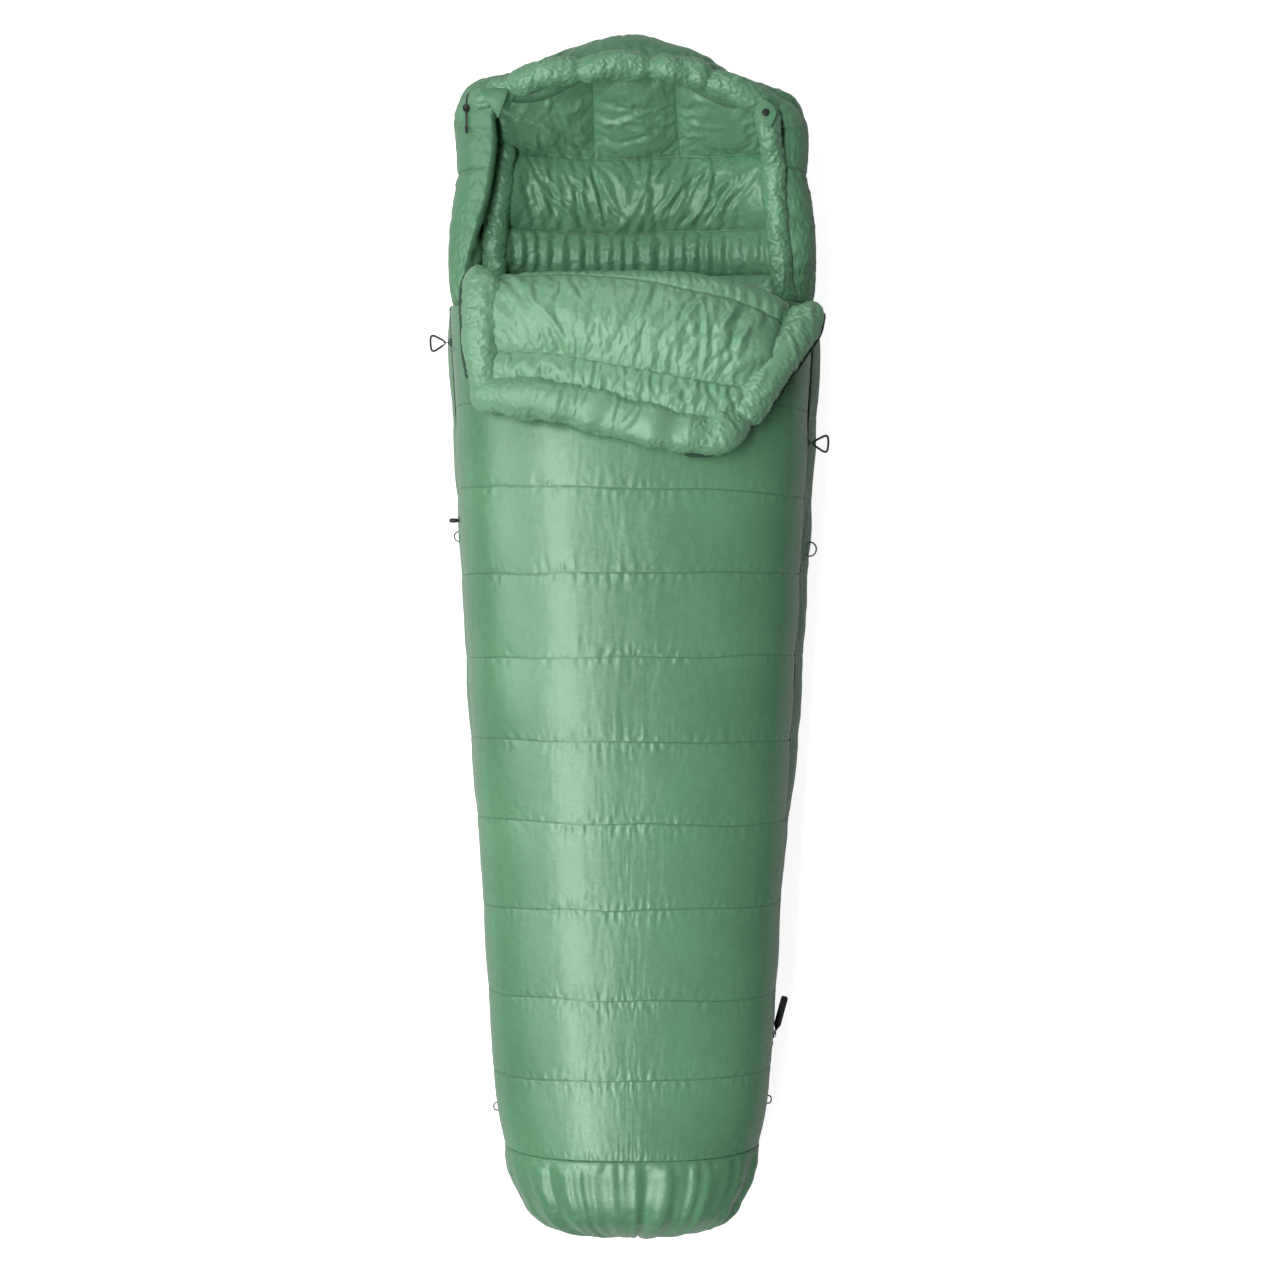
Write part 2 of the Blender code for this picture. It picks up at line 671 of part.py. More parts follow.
# mm: (outward, along the zip) before folding
STRAP_OUTLINE = (
    (13.4, -1.8), (17.0, -2.4), (24.0, -6.0), (72.0, -6.0), (75.0, -4.0),
    (75.0, 4.0), (72.0, 6.0), (24.0, 6.0), (17.0, 2.4), (13.4, 1.8),
)
TAB_HALF = 0.5           # half thicknesses, mm
LEAF_HALF = 0.6
STRAP_HALF = 0.9
STRAP_HINGE = 0.0073     # outward from the zip line
STRAP_REST = 78.0        # degrees the strap is folded from straight out towards the head
# mm: (outward from the tab's hole, along the zip)
CORD_LOOP = (
    (0, -1.5), (0, 1.5), (3.0, 4.6), (9.0, 8.6), (16.0, 12.2), (22.5, 15.2), (26.0, 15.6),
    (27.5, 13.0), (27.5, -13.0), (26.0, -15.6), (22.5, -15.2), (16.0, -12.2), (9.0, -8.6),
    (3.0, -4.6),
)
CORD_LOOP_NECK = 2       # mm; points nearer the middle than this keep their spacing at any size


def stamped_pull(name, frame, loops, half, finish=METAL):
    """A flat pull standing out from the bag, its plane square to the zip."""
    mesh = flat_solid(loops, half, frame @ ACROSS_PLANE)
    return mesh_object(name, mesh, finish, smooth=False)


def pull_loop(name, frame, size):
    """Cord loop through the hole of a tab."""
    points = []
    for outward, along in CORD_LOOP:
        if abs(along) >= CORD_LOOP_NECK:
            along *= size
        points.append(frame @ Vector(((TAB_HOLE_AT + outward * size) * MM, along * MM, 0.0)))
    tube(name, points, CORD, CORD_R, cyclic=True)


def strap_pull(name, side, y):
    """A ring through the slider's bridge and a strap, folded up along the zip."""
    hinge = Vector((STRAP_HINGE, 0.0, 0.0))
    fold = Matrix.Rotation(math.radians(STRAP_REST), 4, "Z")
    placed = (zip_frame(side, y) @ Matrix.Translation(hinge) @ fold
              @ Matrix.Translation(-hinge))
    ring = stamped_pull(name, placed, (STRAP_RING_OUTLINE, PULL_WINDOW), TAB_HALF, PLASTIC)
    strap = flat_solid([STRAP_OUTLINE], STRAP_HALF, placed)
    add_boolean(ring, "strap", "UNION", tool_object(name + "_tool", strap, PLASTIC))


for tag, side, slider_y, loop_size in (("left", LEFT, LEFT_SLIDER_Y, 1.0),
                                       ("right", RIGHT, RIGHT_SLIDER_Y, 0.92)):
    slider_frame = zip_frame(side, slider_y)
    stamped_pull(tag + "_pull_tab", slider_frame, (TAB_OUTLINE, PULL_WINDOW, TAB_HOLE), TAB_HALF)
    pull_loop(tag + "_pull_loop", slider_frame, loop_size)
stamped_pull("left_lower_pull", zip_frame(LEFT, LEFT_LOWER_Y), (LEAF_OUTLINE, PULL_WINDOW),
             LEAF_HALF)
strap_pull("right_lower_pull", RIGHT, RIGHT_LOWER_Y)

# ---------------------------------------------------------------- small loops on the under quilt's sides
SIDE_LOOP_HALF = 0.006   # half width at the root
SIDE_LOOP_CLEARANCE = 0.0022
# (fraction of the reach, fraction of the half width)
SIDE_LOOP_KEYS = (
    (0, -1), (0.55, -1.15), (0.92, -0.75), (1, 0), (0.92, 0.75), (0.55, 1.15), (0, 1),
)
# (name, side, Y, Z, reach, finish)
SIDE_LOOPS = (
    ("left_side_loop", LEFT, 0.170, 0.096, 0.013, LOOP),
    ("right_side_loop", RIGHT, 0.157, 0.096, 0.013, LOOP),
    ("left_foot_loop", LEFT, -0.818, 0.112, 0.012, CORD),
    ("right_foot_loop", RIGHT, -0.806, 0.112, 0.012, CORD),
)


def under_side(y, z):
    """Half width of the under quilt at height z."""
    edge_z = ZIP_Z - SEAM_HALF
    fraction = min(max((edge_z - z) / (edge_z * UNDER_OVERSHOOT), 0.0), 0.999)
    return zip_half(y) * (1 - fraction ** UNDER_POWER) ** (1 / UNDER_POWER)


def side_loop(name, side, y, z, reach, finish):
    root = under_side(y, z) + SIDE_LOOP_CLEARANCE
    keys = [(side * (root + reach * out), y + SIDE_LOOP_HALF * along, z)
            for out, along in SIDE_LOOP_KEYS]
    tube(name, smooth_path(keys, 2), finish, CORD_R)


for side_loop_row in SIDE_LOOPS:
    side_loop(*side_loop_row)

# ---------------------------------------------------------------- hood drawcord
LOCK_AT = Vector((-0.279, 0.889, 0.199))                  # foot of the cord lock
CORD_HOLE = LOCK_AT + Vector((0, 0, 0.008))               # centre of the barrel's cord hole
CORD_THROUGH_LOCK = (-0.030, -0.012, 0.012, 0.026)        # Y from the lock's axis
CORD_KEYS = (
    (-0.264, 0.9315, 0.214), (-0.222, 0.943, 0.226), (-0.146, 0.9625, 0.234),
    (-0.064, 0.9755, 0.236), (0.0, 0.978, 0.236), (0.060, 0.9755, 0.236),
    (0.122, 0.9625, 0.234), (0.182, 0.941, 0.226), (0.218, 0.926, 0.214),
)
CORD_END_Y = -0.0362     # centre of the end piece, from the lock's axis


def cord_end():
    place = Matrix.Translation(CORD_HOLE + Vector((0, CORD_END_Y, 0)))
    mesh = bmesh.new()
    bmesh.ops.create_cone(mesh, cap_ends=True, segments=12, radius1=0.0030, radius2=0.0022,
                          depth=0.011, matrix=place @ Matrix.Rotation(math.radians(90), 4, "X"))
    face_outward(mesh)
    mesh_object("cord_end", mesh, PLASTIC)


tube("hood_drawcord",
     [CORD_HOLE + Vector((0, y, 0)) for y in CORD_THROUGH_LOCK] + list(CORD_KEYS), CORD, CORD_R)
cord_end()

# ---------------------------------------------------------------- cord lock
HOLE_HALF = 0.0017       # half width of the cord holes
PLUNGER_HOLE_Z = 0.0096  # centre above the lock's foot
PLUNGER_HOLE_HALF_Z = 0.0031
HOLE_TOOL_LENGTH = 0.02
# mm: (radius, height), starting and ending on the axis
BARREL_PROFILE = (
    (0, 1.5), (4.2, 1.5), (4.2, 13), (5.0, 13.4), (5.8, 12.6), (5.8, 0.8), (5.0, 0), (0, 0),
)
PLUNGER_PROFILE = ((0, 17.4), (3.2, 17.4), (3.9, 16.6), (3.9, 5.8), (0, 5.8))
SPRING_TURNS = 3
SPRING_STEPS = 10        # points to a turn
SPRING_R = 2.6           # mm
SPRING_Z = 2.0           # mm above the lock's foot
SPRING_HEIGHT = 3.3      # mm


def turned(name, profile, place=(0, 0, 0)):
    """A turned plastic piece: a profile in mm with a Screw modifier about +Z."""
    mesh = bmesh.new()
    verts = [mesh.verts.new((radius * MM, 0.0, z * MM)) for radius, z in profile]
    for start, end in zip(verts, verts[1:]):
        mesh.edges.new((start, end))
    obj = mesh_object(name, mesh, PLASTIC, smooth=False)
    obj.location = place
    modifier = obj.modifiers.new("turn", "SCREW")
    modifier.steps = 20
    modifier.render_steps = 20
    modifier.use_merge_vertices = True
    modifier.merge_threshold = 0.00001
    return obj


def slot_tool(name, place, half_x, half_z):
    """A straight tool along Y: an upright rounded slot."""
    count = 12
    outline = []
    for k in range(count):
        angle = math.tau * k / count + math.pi / count
        rise = math.copysign(half_z - half_x, math.sin(angle))
        outline.append((half_x * math.cos(angle), rise + half_x * math.sin(angle)))
    rows = [[(x, sign * HOLE_TOOL_LENGTH / 2, z) for x, z in outline] for sign in (-1, 1)]
    mesh = bmesh.new()
    for row in add_grid(mesh, rows, ring=True):
        mesh.faces.new(row)
    face_outward(mesh)
    tool = tool_object(name, mesh, PLASTIC)
    tool.location = place
    return tool


def lock_spring():
    count = SPRING_TURNS * SPRING_STEPS
    points = []
    for k in range(count + 1):
        angle = math.tau * k / SPRING_STEPS
        points.append(LOCK_AT + MM * Vector((SPRING_R * math.cos(angle),
                                             SPRING_R * math.sin(angle),
                                             SPRING_Z + SPRING_HEIGHT * k / count)))
    tube("cord_lock_spring", points, STEEL, 0.0003, resolution=1)


barrel = turned("cord_lock_barrel", BARREL_PROFILE, LOCK_AT)
add_boolean(barrel, "cut", "DIFFERENCE",
            slot_tool("barrel_hole_tool", CORD_HOLE, HOLE_HALF, HOLE_HALF))
plunger = turned("cord_lock_plunger", PLUNGER_PROFILE, LOCK_AT)
add_boolean(plunger, "cut", "DIFFERENCE",
            slot_tool("plunger_hole_tool", LOCK_AT + Vector((0, 0, PLUNGER_HOLE_Z)),
                      HOLE_HALF, PLUNGER_HOLE_HALF_Z))
lock_spring()

# ---------------------------------------------------------------- tabs at the two ends of the hood rim
SNAP_AT = Vector((0.2215, 0.866, 0.2580))
SNAP_TAB_AT = SNAP_AT + Vector((0, -0.006, 0))
SNAP_CAP_AT = SNAP_AT + Vector((0, 0, 0.0009))
CLOSING_TAB_AT = Vector((-0.222, 0.893, 0.263))
RIM_TAB_HALF = 0.6       # half thickness, mm
# mm: plan outlines (X, Y)
SNAP_TAB_OUTLINE = ((0, -30), (13, -4), (10.5, 16), (0, 22), (-10.5, 16), (-13, -4))
CLOSING_TAB_OUTLINE = ((-12, -26), (12, -20), (16, 18), (0, 26), (-14, 20))
# mm: (radius, height)
SNAP_CAP_PROFILE = ((0, 3.2), (4.0, 3.2), (5.6, 2.4), (6.1, 1.2), (6.1, 0.0), (0, 0.0))


def rim_tab(name, outline, place):
    mesh = flat_solid([outline], RIM_TAB_HALF, Matrix.Translation(place))
    mesh_object(name, mesh, SHELL, smooth=False)


rim_tab("snap_tab", SNAP_TAB_OUTLINE, SNAP_TAB_AT)
turned("snap_cap", SNAP_CAP_PROFILE, SNAP_CAP_AT)
rim_tab("left_closing_tab", CLOSING_TAB_OUTLINE, CLOSING_TAB_AT)

# ---------------------------------------------------------------- chest flap, folded down onto the top quilt
FLAP_GAP = 0.003         # between the folded flap and the quilt it rests on
FLAP_LOFT = 0.040
# side edges of the flap in plan (X, Y), fold to hem
FLAP_LEFT = (Vector((-0.212, 0.552)), Vector((-0.205, 0.406)))
FLAP_RIGHT = (Vector((0.228, 0.552)), Vector((0.150, 0.368)))
HEM_SAG = 0.0168         # footward bow of the hem
FLAP_FILL_OFFSET = FLAP_GAP + LAYER
FLAP_LINER_OFFSET = FLAP_GAP + 2 * LAYER + FLAP_LOFT


def flap_plan(across, down):
    """Plan point; across runs 0..1 left to right, down 0..1 fold to hem."""
    left = FLAP_LEFT[0].lerp(FLAP_LEFT[1], down)
    right = FLAP_RIGHT[0].lerp(FLAP_RIGHT[1], down)
    point = left.lerp(right, across)
    point.y -= HEM_SAG * down * math.sin(math.pi * min(across * 1.15, 1.0))
    return point


def flap_rows(offset):
    return [[on_quilt(*flap_plan(j / 8.0, i / 5.0), offset) for j in range(9)] for i in range(6)]


# the fold puts the shell underneath and the liner on top
cloth("flap_shell", flap_rows(FLAP_GAP), flap_rows(FLAP_GAP + TOWARD), SHELL)
pad("flap_fill", flap_rows(FLAP_FILL_OFFSET), flap_rows(FLAP_FILL_OFFSET + FLAP_LOFT), FILL)
cloth("flap_liner", flap_rows(FLAP_LINER_OFFSET), flap_rows(FLAP_LINER_OFFSET - TOWARD), LINER)

# ---------------------------------------------------------------- tubes and zip tapes round the flap
FLAP_TUBE_R = 0.0225
FLAP_TUBE_OFFSET = FLAP_GAP + FLAP_TUBE_R                 # tube centre above the quilt
FLAP_TAPE_WIDTH = 0.014
FLAP_TAPE_THICKNESS = 0.0006
FLAP_TAPE_CLEARANCE = 0.0012                              # tape centre outside the tube
# plan centre lines (X, Y)
FLAP_LEFT_LINE = (
    (-0.238, 0.552), (-0.238, 0.52), (-0.236, 0.47), (-0.233, 0.43), (-0.230, 0.412),
)
FLAP_RIGHT_LINE = (
    (0.262, 0.546), (0.252, 0.520), (0.232, 0.470), (0.205, 0.410), (0.190, 0.378),
    (0.184, 0.366),
)
FLAP_HEM_LINE = (
    (-0.222, 0.380), (-0.200, 0.374), (-0.14, 0.360), (-0.06, 0.3430), (0.02, 0.332),
    (0.09, 0.3265), (0.150, 0.331), (0.168, 0.333),
)


def quilt_normal(x, y, offset):
    return (on_quilt(x, y, offset + 0.01) - on_quilt(x, y, offset)).normalized()


def flap_tube(name, line):
    padded_tube(name, [on_quilt(x, y, FLAP_TUBE_OFFSET) for x, y in line], FLAP_TUBE_R)


def flap_tape(name, line, outward):
    """Zip tape, a flat strip standing along the outer side of a flap tube."""
    rows = []
    for x, y in line:
        normal = quilt_normal(x, y, FLAP_TUBE_OFFSET)
        out = Vector(outward).normalized()
        out = (out - normal * out.dot(normal)).normalized()
        centre = on_quilt(x, y, FLAP_TUBE_OFFSET) + out * (FLAP_TUBE_R + FLAP_TAPE_CLEARANCE)
        wide = normal * (FLAP_TAPE_WIDTH / 2)
        thick = out * (FLAP_TAPE_THICKNESS / 2)
        rows.append([centre - wide - thick, centre + wide - thick,
                     centre + wide + thick, centre - wide + thick])
    mesh = bmesh.new()
    grid = add_grid(mesh, rows, ring=True)
    for row in (grid[0], grid[-1]):
        mesh.faces.new((row[0], row[1], row[2]))
        mesh.faces.new((row[0], row[2], row[3]))
    face_outward(mesh)
    mesh_object(name, mesh, TAPE, smooth=False)


flap_tube("flap_left_tube", FLAP_LEFT_LINE)
flap_tube("flap_right_tube", FLAP_RIGHT_LINE)
flap_tube("flap_hem_tube", FLAP_HEM_LINE)
flap_tape("flap_left_zip_tape", FLAP_LEFT_LINE, outward=(-1, 0, 0))
flap_tape("flap_right_zip_tape", FLAP_RIGHT_LINE[:-1], outward=(1, -0.35, 0))

# ---------------------------------------------------------------- snap stud, on the quilt under the folded flap
STUD_PLAN = (0.120, 0.400)
STUD_OFFSET = 0.0004     # foot of the stud above the quilt
# mm: (radius, height)
STUD_PROFILE = (
    (0, 2.2), (2.4, 2.2), (2.8, 1.4), (5.6, 1.4), (5.9, 0.7), (5.6, 0.0), (0, 0.0),
)

stud = turned("flap_snap_stud", STUD_PROFILE, on_quilt(*STUD_PLAN, STUD_OFFSET))
stud_axis = quilt_normal(*STUD_PLAN, STUD_OFFSET)
stud.rotation_euler = Vector((0, 0, 1)).rotation_difference(stud_axis).to_euler()
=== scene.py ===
# A hooded sleeping bag lying on the floor, in metres: foot at -Y, hood at +Y, +X the bag's
# "right" side, +Z up. A zip runs along each side and the chest flap is folded over the top
# quilt. Panels are grids of points, indexed (row, column), sewn at their seams and puffed
# out by a short cloth simulation.
import math

import bmesh
import bpy
import numpy as np
from mathutils import Matrix, Vector


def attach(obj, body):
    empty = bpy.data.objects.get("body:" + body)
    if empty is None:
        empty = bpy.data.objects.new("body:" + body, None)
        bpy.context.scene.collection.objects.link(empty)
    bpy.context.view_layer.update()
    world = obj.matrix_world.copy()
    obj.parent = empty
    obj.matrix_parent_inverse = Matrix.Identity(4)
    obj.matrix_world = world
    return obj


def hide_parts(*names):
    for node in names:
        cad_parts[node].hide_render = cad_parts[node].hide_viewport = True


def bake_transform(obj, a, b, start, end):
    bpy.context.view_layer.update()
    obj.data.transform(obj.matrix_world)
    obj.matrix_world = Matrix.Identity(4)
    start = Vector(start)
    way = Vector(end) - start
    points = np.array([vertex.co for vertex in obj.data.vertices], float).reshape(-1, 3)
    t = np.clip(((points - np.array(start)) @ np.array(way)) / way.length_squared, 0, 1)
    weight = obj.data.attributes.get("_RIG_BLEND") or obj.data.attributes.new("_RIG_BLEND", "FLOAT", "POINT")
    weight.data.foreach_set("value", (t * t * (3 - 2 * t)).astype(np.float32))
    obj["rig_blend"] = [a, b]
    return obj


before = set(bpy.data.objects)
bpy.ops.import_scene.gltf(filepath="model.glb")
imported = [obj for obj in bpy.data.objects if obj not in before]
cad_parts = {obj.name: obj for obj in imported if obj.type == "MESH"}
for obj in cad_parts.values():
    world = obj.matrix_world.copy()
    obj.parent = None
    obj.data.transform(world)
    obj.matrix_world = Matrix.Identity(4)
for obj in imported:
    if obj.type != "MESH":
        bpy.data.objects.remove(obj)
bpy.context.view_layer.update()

SCENE = bpy.context.scene

# ---- driving sizes
ZIP_Z = 0.125                  # height of both zips
ZIP_HALF_GAP = 0.0012          # each quilt stops this far above or below the zip
ZIP_REF_Y, ZIP_REF_X = -0.693, 0.2398
ZIP_SLOPE = 0.0573             # how fast the zips spread towards the head
FOOT_BEND_Y, FOOT_BEND = -0.70, 0.46   # below this y the sides curve in
FLOOR_GAP = 0.0006             # lowest point of the cloth; the floor is as far below zero
TOOTH_PITCH = 0.0021
QUILT_HEIGHT = ((-0.95, 0.252), (-0.55, 0.250), (-0.20, 0.268), (0.20, 0.287), (0.62, 0.289))
QUILT_POWER = ((-0.95, 2.4), (-0.30, 2.6), (0.30, 2.9), (0.62, 3.0))


# ================================================================ small maths
def hermite(x, stations, values):
    """Smooth curve through key stations, held at its end values beyond them."""
    x, stations, values = (np.asarray(item, float) for item in (x, stations, values))
    slopes = np.gradient(values, stations)
    x = np.clip(x, stations[0], stations[-1])
    k = np.clip(np.searchsorted(stations, x, side="right") - 1, 0, len(stations) - 2)
    step = stations[k + 1] - stations[k]
    t = (x - stations[k]) / step
    return ((2 * t**3 - 3 * t**2 + 1) * values[k] + (t**3 - 2 * t**2 + t) * step * slopes[k]
            + (-2 * t**3 + 3 * t**2) * values[k + 1] + (t**3 - t**2) * step * slopes[k + 1])


def table(x, rows, column=1):
    """Reads a column of a station table whose first column is x."""
    rows = np.asarray(rows, float)
    return hermite(x, rows[:, 0], rows[:, column])


def curve(at, stations, points):
    return np.stack([hermite(at, stations, values) for values in points.T], -1)


def sample(at, stations, points):
    """Straight-line reading of points between stations."""
    return np.stack([np.interp(at, stations, values) for values in points.T], -1)


def run_length(points):
    steps = np.linalg.norm(np.diff(points, axis=0), axis=1)
    return np.concatenate([[0], np.cumsum(steps)])


def unit(vectors):
    return vectors / np.linalg.norm(vectors, axis=-1, keepdims=True)


def spline(keys, count):
    keys = np.asarray(keys, float)
    run = run_length(keys)
    return curve(np.linspace(0, run[-1], count), run, keys)


def circle(count):
    return np.arange(count) / count * 2 * math.pi


def smooth(x):
    x = np.clip(np.asarray(x, float), 0, 1)
    return x * x * (3 - 2 * x)


def arch(x, power=2.2):
    return 1 - np.abs(2 * np.clip(x, 0, 1) - 1) ** power


def waves(x, seed, scale, octaves=2):
    """Smooth seeded noise along one coordinate, about -1..1."""
    rng = np.random.default_rng(seed)
    x = np.asarray(x, float)
    total = np.zeros_like(x)
    for k in range(octaves):
        for _ in range(3):
            total = total + np.sin(x * (2 * math.pi / scale) * 2**k * rng.uniform(0.7, 1.3)
                                   + rng.uniform(0, 6.28)) * 0.5**k / 3.0
    return total


def hills(x, y, seed, scale):
    """Smooth seeded noise over a plane, about -1..1, from plane waves of many directions."""
    rng = np.random.default_rng(seed)
    count = 14
    total = 0.0
    for _ in range(count):
        angle = rng.uniform(0, 2 * math.pi)
        rate = 2 * math.pi / (scale * rng.uniform(0.7, 1.6))
        total = total + np.sin((np.cos(angle) * x + np.sin(angle) * y) * rate
                               + rng.uniform(0, 6.28))
    return total / math.sqrt(count) * 1.1


# ================================================================ the bag's form
def zip_half(y):
    """Distance of the zips from the middle."""
    y = np.asarray(y, float)
    half = ZIP_REF_X + ZIP_SLOPE * (y - ZIP_REF_Y)
    return np.where(y < FOOT_BEND_Y, half - FOOT_BEND * (FOOT_BEND_Y - y) ** 2, half)


def superellipse(angle, width, height, power, off):
    """Point of the upper half, moved off along its normal."""
    cos, sin = np.cos(angle), np.maximum(np.sin(angle), 0.0)
    root = 2.0 / power
    x = np.sign(cos) * np.abs(cos) ** root * width
    z = sin**root * height
    normal_x = np.sign(cos) * np.abs(cos) ** (2 - root) / width
    normal_z = sin ** (2 - root) / height
    size = np.hypot(normal_x, normal_z)
    return x + off * normal_x / size, z + off * normal_z / size


def even_angles(width, height, power, count):
    """Angles that split the half superellipse into equal lengths."""
    fine = np.linspace(0, math.pi, 2001)
    x, z = superellipse(fine, width, height, power, 0.0)
    run = np.concatenate([[0], np.cumsum(np.hypot(np.diff(x), np.diff(z)))])
    return np.interp(np.linspace(0, run[-1], count + 1), run, fine)


def top_points(angle, y, off):
    edge = ZIP_Z + ZIP_HALF_GAP
    x, z = superellipse(angle, zip_half(y), table(y, QUILT_HEIGHT) - edge,
                        table(y, QUILT_POWER), off)
    return np.stack(np.broadcast_arrays(x, y, edge + z), -1)


def under_points(angle, y, off):
    edge = ZIP_Z - ZIP_HALF_GAP
    # a little deeper than the floor, so that the underside is pressed flat
    x, z = superellipse(angle, zip_half(y), edge * 1.06, 3.5, off)
    z = np.maximum(edge - z, FLOOR_GAP - np.minimum(off, 0))
    return np.stack(np.broadcast_arrays(x, y, z), -1)


def on_quilt(x, y, off):
    """Points off the top quilt, from their place seen from above."""
    x, y = np.broadcast_arrays(np.asarray(x, float), np.asarray(y, float))
    cos = np.minimum((np.abs(x) / zip_half(y)) ** (table(y, QUILT_POWER) / 2.0), 0.9995)
    angle = np.arccos(cos)
    return top_points(np.where(x >= 0, angle, math.pi - angle), y, off)


# ================================================================ grids
def grid_faces(rows, cols, ring=False):
    j, i = np.meshgrid(np.arange(rows - 1), np.arange(cols if ring else cols - 1),
                       indexing="ij")
    k = (i + 1) % cols
    corners = [j * cols + i, j * cols + k, (j + 1) * cols + k, (j + 1) * cols + i]
    return np.stack(corners, -1).reshape(-1, 4)


def grid_normals(grid, ring=False):
    if ring:
        across = np.roll(grid, -1, 1) - np.roll(grid, 1, 1)
    else:
        across = np.gradient(grid, axis=1)
    normal = np.cross(across, np.gradient(grid, axis=0))
    return normal / np.maximum(np.linalg.norm(normal, axis=-1, keepdims=True), 1e-12)


def normals_up(grid):
    normal = grid_normals(grid)
    return normal * np.sign(normal[..., 2].mean())


def relax(grid, times=1, keep=None, ring=False):
    """Light smoothing that leaves the grid's edge, and any kept points, where they are."""
    for _ in range(times):
        new = grid.copy()
        if ring:
            left, right = np.roll(grid, 1, 1), np.roll(grid, -1, 1)
            new[1:-1] = 0.5 * grid[1:-1] + 0.125 * (grid[:-2] + grid[2:]
                                                    + left[1:-1] + right[1:-1])
        else:
            new[1:-1, 1:-1] = 0.5 * grid[1:-1, 1:-1] + 0.125 * (
                grid[:-2, 1:-1] + grid[2:, 1:-1] + grid[1:-1, :-2] + grid[1:-1, 2:])
        if keep is not None:
            new[keep] = grid[keep]
        grid = new
    return grid


def finer(grid, ring=False):
    """Doubles a grid both ways, with Catmull-Rom midpoints."""
    def double(points, wrap):
        if wrap:
            padded = np.concatenate([points[-1:], points, points[:2]], 0)
        else:
            padded = np.concatenate([2 * points[:1] - points[1:2], points,
                                     2 * points[-1:] - points[-2:-1]], 0)
        start = padded[1:-2]
        middle = (9 * (start + padded[2:-1]) - padded[:-3] - padded[3:]) / 16
        both = np.stack([start, middle], 1).reshape((-1,) + points.shape[1:])
        return both if wrap else np.concatenate([both, points[-1:]], 0)

    grid = double(grid, False)
    return np.swapaxes(double(np.swapaxes(grid, 0, 1), ring), 0, 1)


def clamp_floor(grid):
    grid = grid.copy()
    grid[..., 2] = np.maximum(grid[..., 2], FLOOR_GAP)
    return grid


def side_and_up(centre):
    """Unit side and up vectors along a centre line."""
    tangent = unit(np.gradient(centre, axis=0))
    side = unit(np.cross(tangent, np.broadcast_to((0.0, 0.0, 1.0), centre.shape)))
    return side, np.cross(side, tangent)


def tube_grid(keys, radius, along, around, squash=(1.0, 1.0)):
    """Rings along a centre line, closed by domes; radius is a value or a function of 0..1."""
    centre = spline(keys, along)
    side, up = side_and_up(centre)
    run = run_length(centre)
    part = run / run[-1]
    radii = np.broadcast_to(radius(part) if callable(radius) else radius,
                            run.shape).astype(float)
    from_end = np.minimum(run, run[-1] - run) / np.maximum(radii, 1e-6)
    dome = np.sqrt(np.clip(1 - (1 - np.clip(from_end, 0, 1)) ** 2, 0.02, 1))
    angle = circle(around)
    radii = (radii * dome)[:, None]
    grid = (centre[:, None] + (radii * np.cos(angle) * squash[0])[..., None] * side[:, None]
            + (radii * np.sin(angle) * squash[1])[..., None] * up[:, None])
    return grid, centre, part


# ================================================================ cloth simulation
TASKS, CLOTH = [], {}
CLOTH_FRAMES = 20
START_ROUGHNESS = 0.0005


def pinned(shape, rows, ring=False):
    """Mask of sewn points: whole rows, and both side edges of an open grid."""
    pin = np.zeros(shape, bool)
    pin[rows] = True
    if not ring:
        pin[:, [0, -1]] = True
    return pin


def drape(key, grid, pin, inside, shrink, cap, ring=False):
    """Queues a panel: pressure pushes it away from inside, by at most cap."""
    normal = grid_normals(grid, ring)
    sign = 1.0 if np.sum((grid - inside) * normal) > 0 else -1.0
    rng = np.random.default_rng(len(TASKS) + 5)
    rough = rng.normal(0, START_ROUGHNESS, grid.shape[:2]) * (~pin)
    TASKS.append(dict(key=key, grid=grid, start=grid + normal * sign * rough[..., None],
                      pin=pin, ring=ring, sign=sign, shrink=shrink, cap=cap))


def cloth_object(task):
    faces = grid_faces(*task["grid"].shape[:2], task["ring"])
    if task["sign"] < 0:
        faces = faces[:, ::-1]
    name = "sim_" + task["key"]
    mesh = bpy.data.meshes.new(name)
    mesh.from_pydata(task["start"].reshape(-1, 3).tolist(), [], faces.tolist())
    panel = bpy.data.objects.new(name, mesh)
    SCENE.collection.objects.link(panel)
    group = panel.vertex_groups.new(name="pin")
    group.add(np.flatnonzero(task["pin"].ravel()).tolist(), 1.0, "REPLACE")
    modifier = panel.modifiers.new("cloth", "CLOTH")
    settings = modifier.settings
    settings.quality = 5
    settings.mass = 0.1
    settings.air_damping = 1.0
    settings.tension_stiffness = settings.compression_stiffness = 30.0
    settings.shear_stiffness = 5.0
    settings.bending_stiffness = 0.02
    settings.vertex_group_mass = "pin"
    settings.pin_stiffness = 1.0
    settings.use_pressure = True
    settings.uniform_pressure_force = 4.0
    settings.shrink_min = task["shrink"]
    settings.effector_weights.gravity = 0.0
    modifier.collision_settings.use_collision = False
    modifier.point_cache.frame_start = 1
    modifier.point_cache.frame_end = CLOTH_FRAMES + 2
    return panel


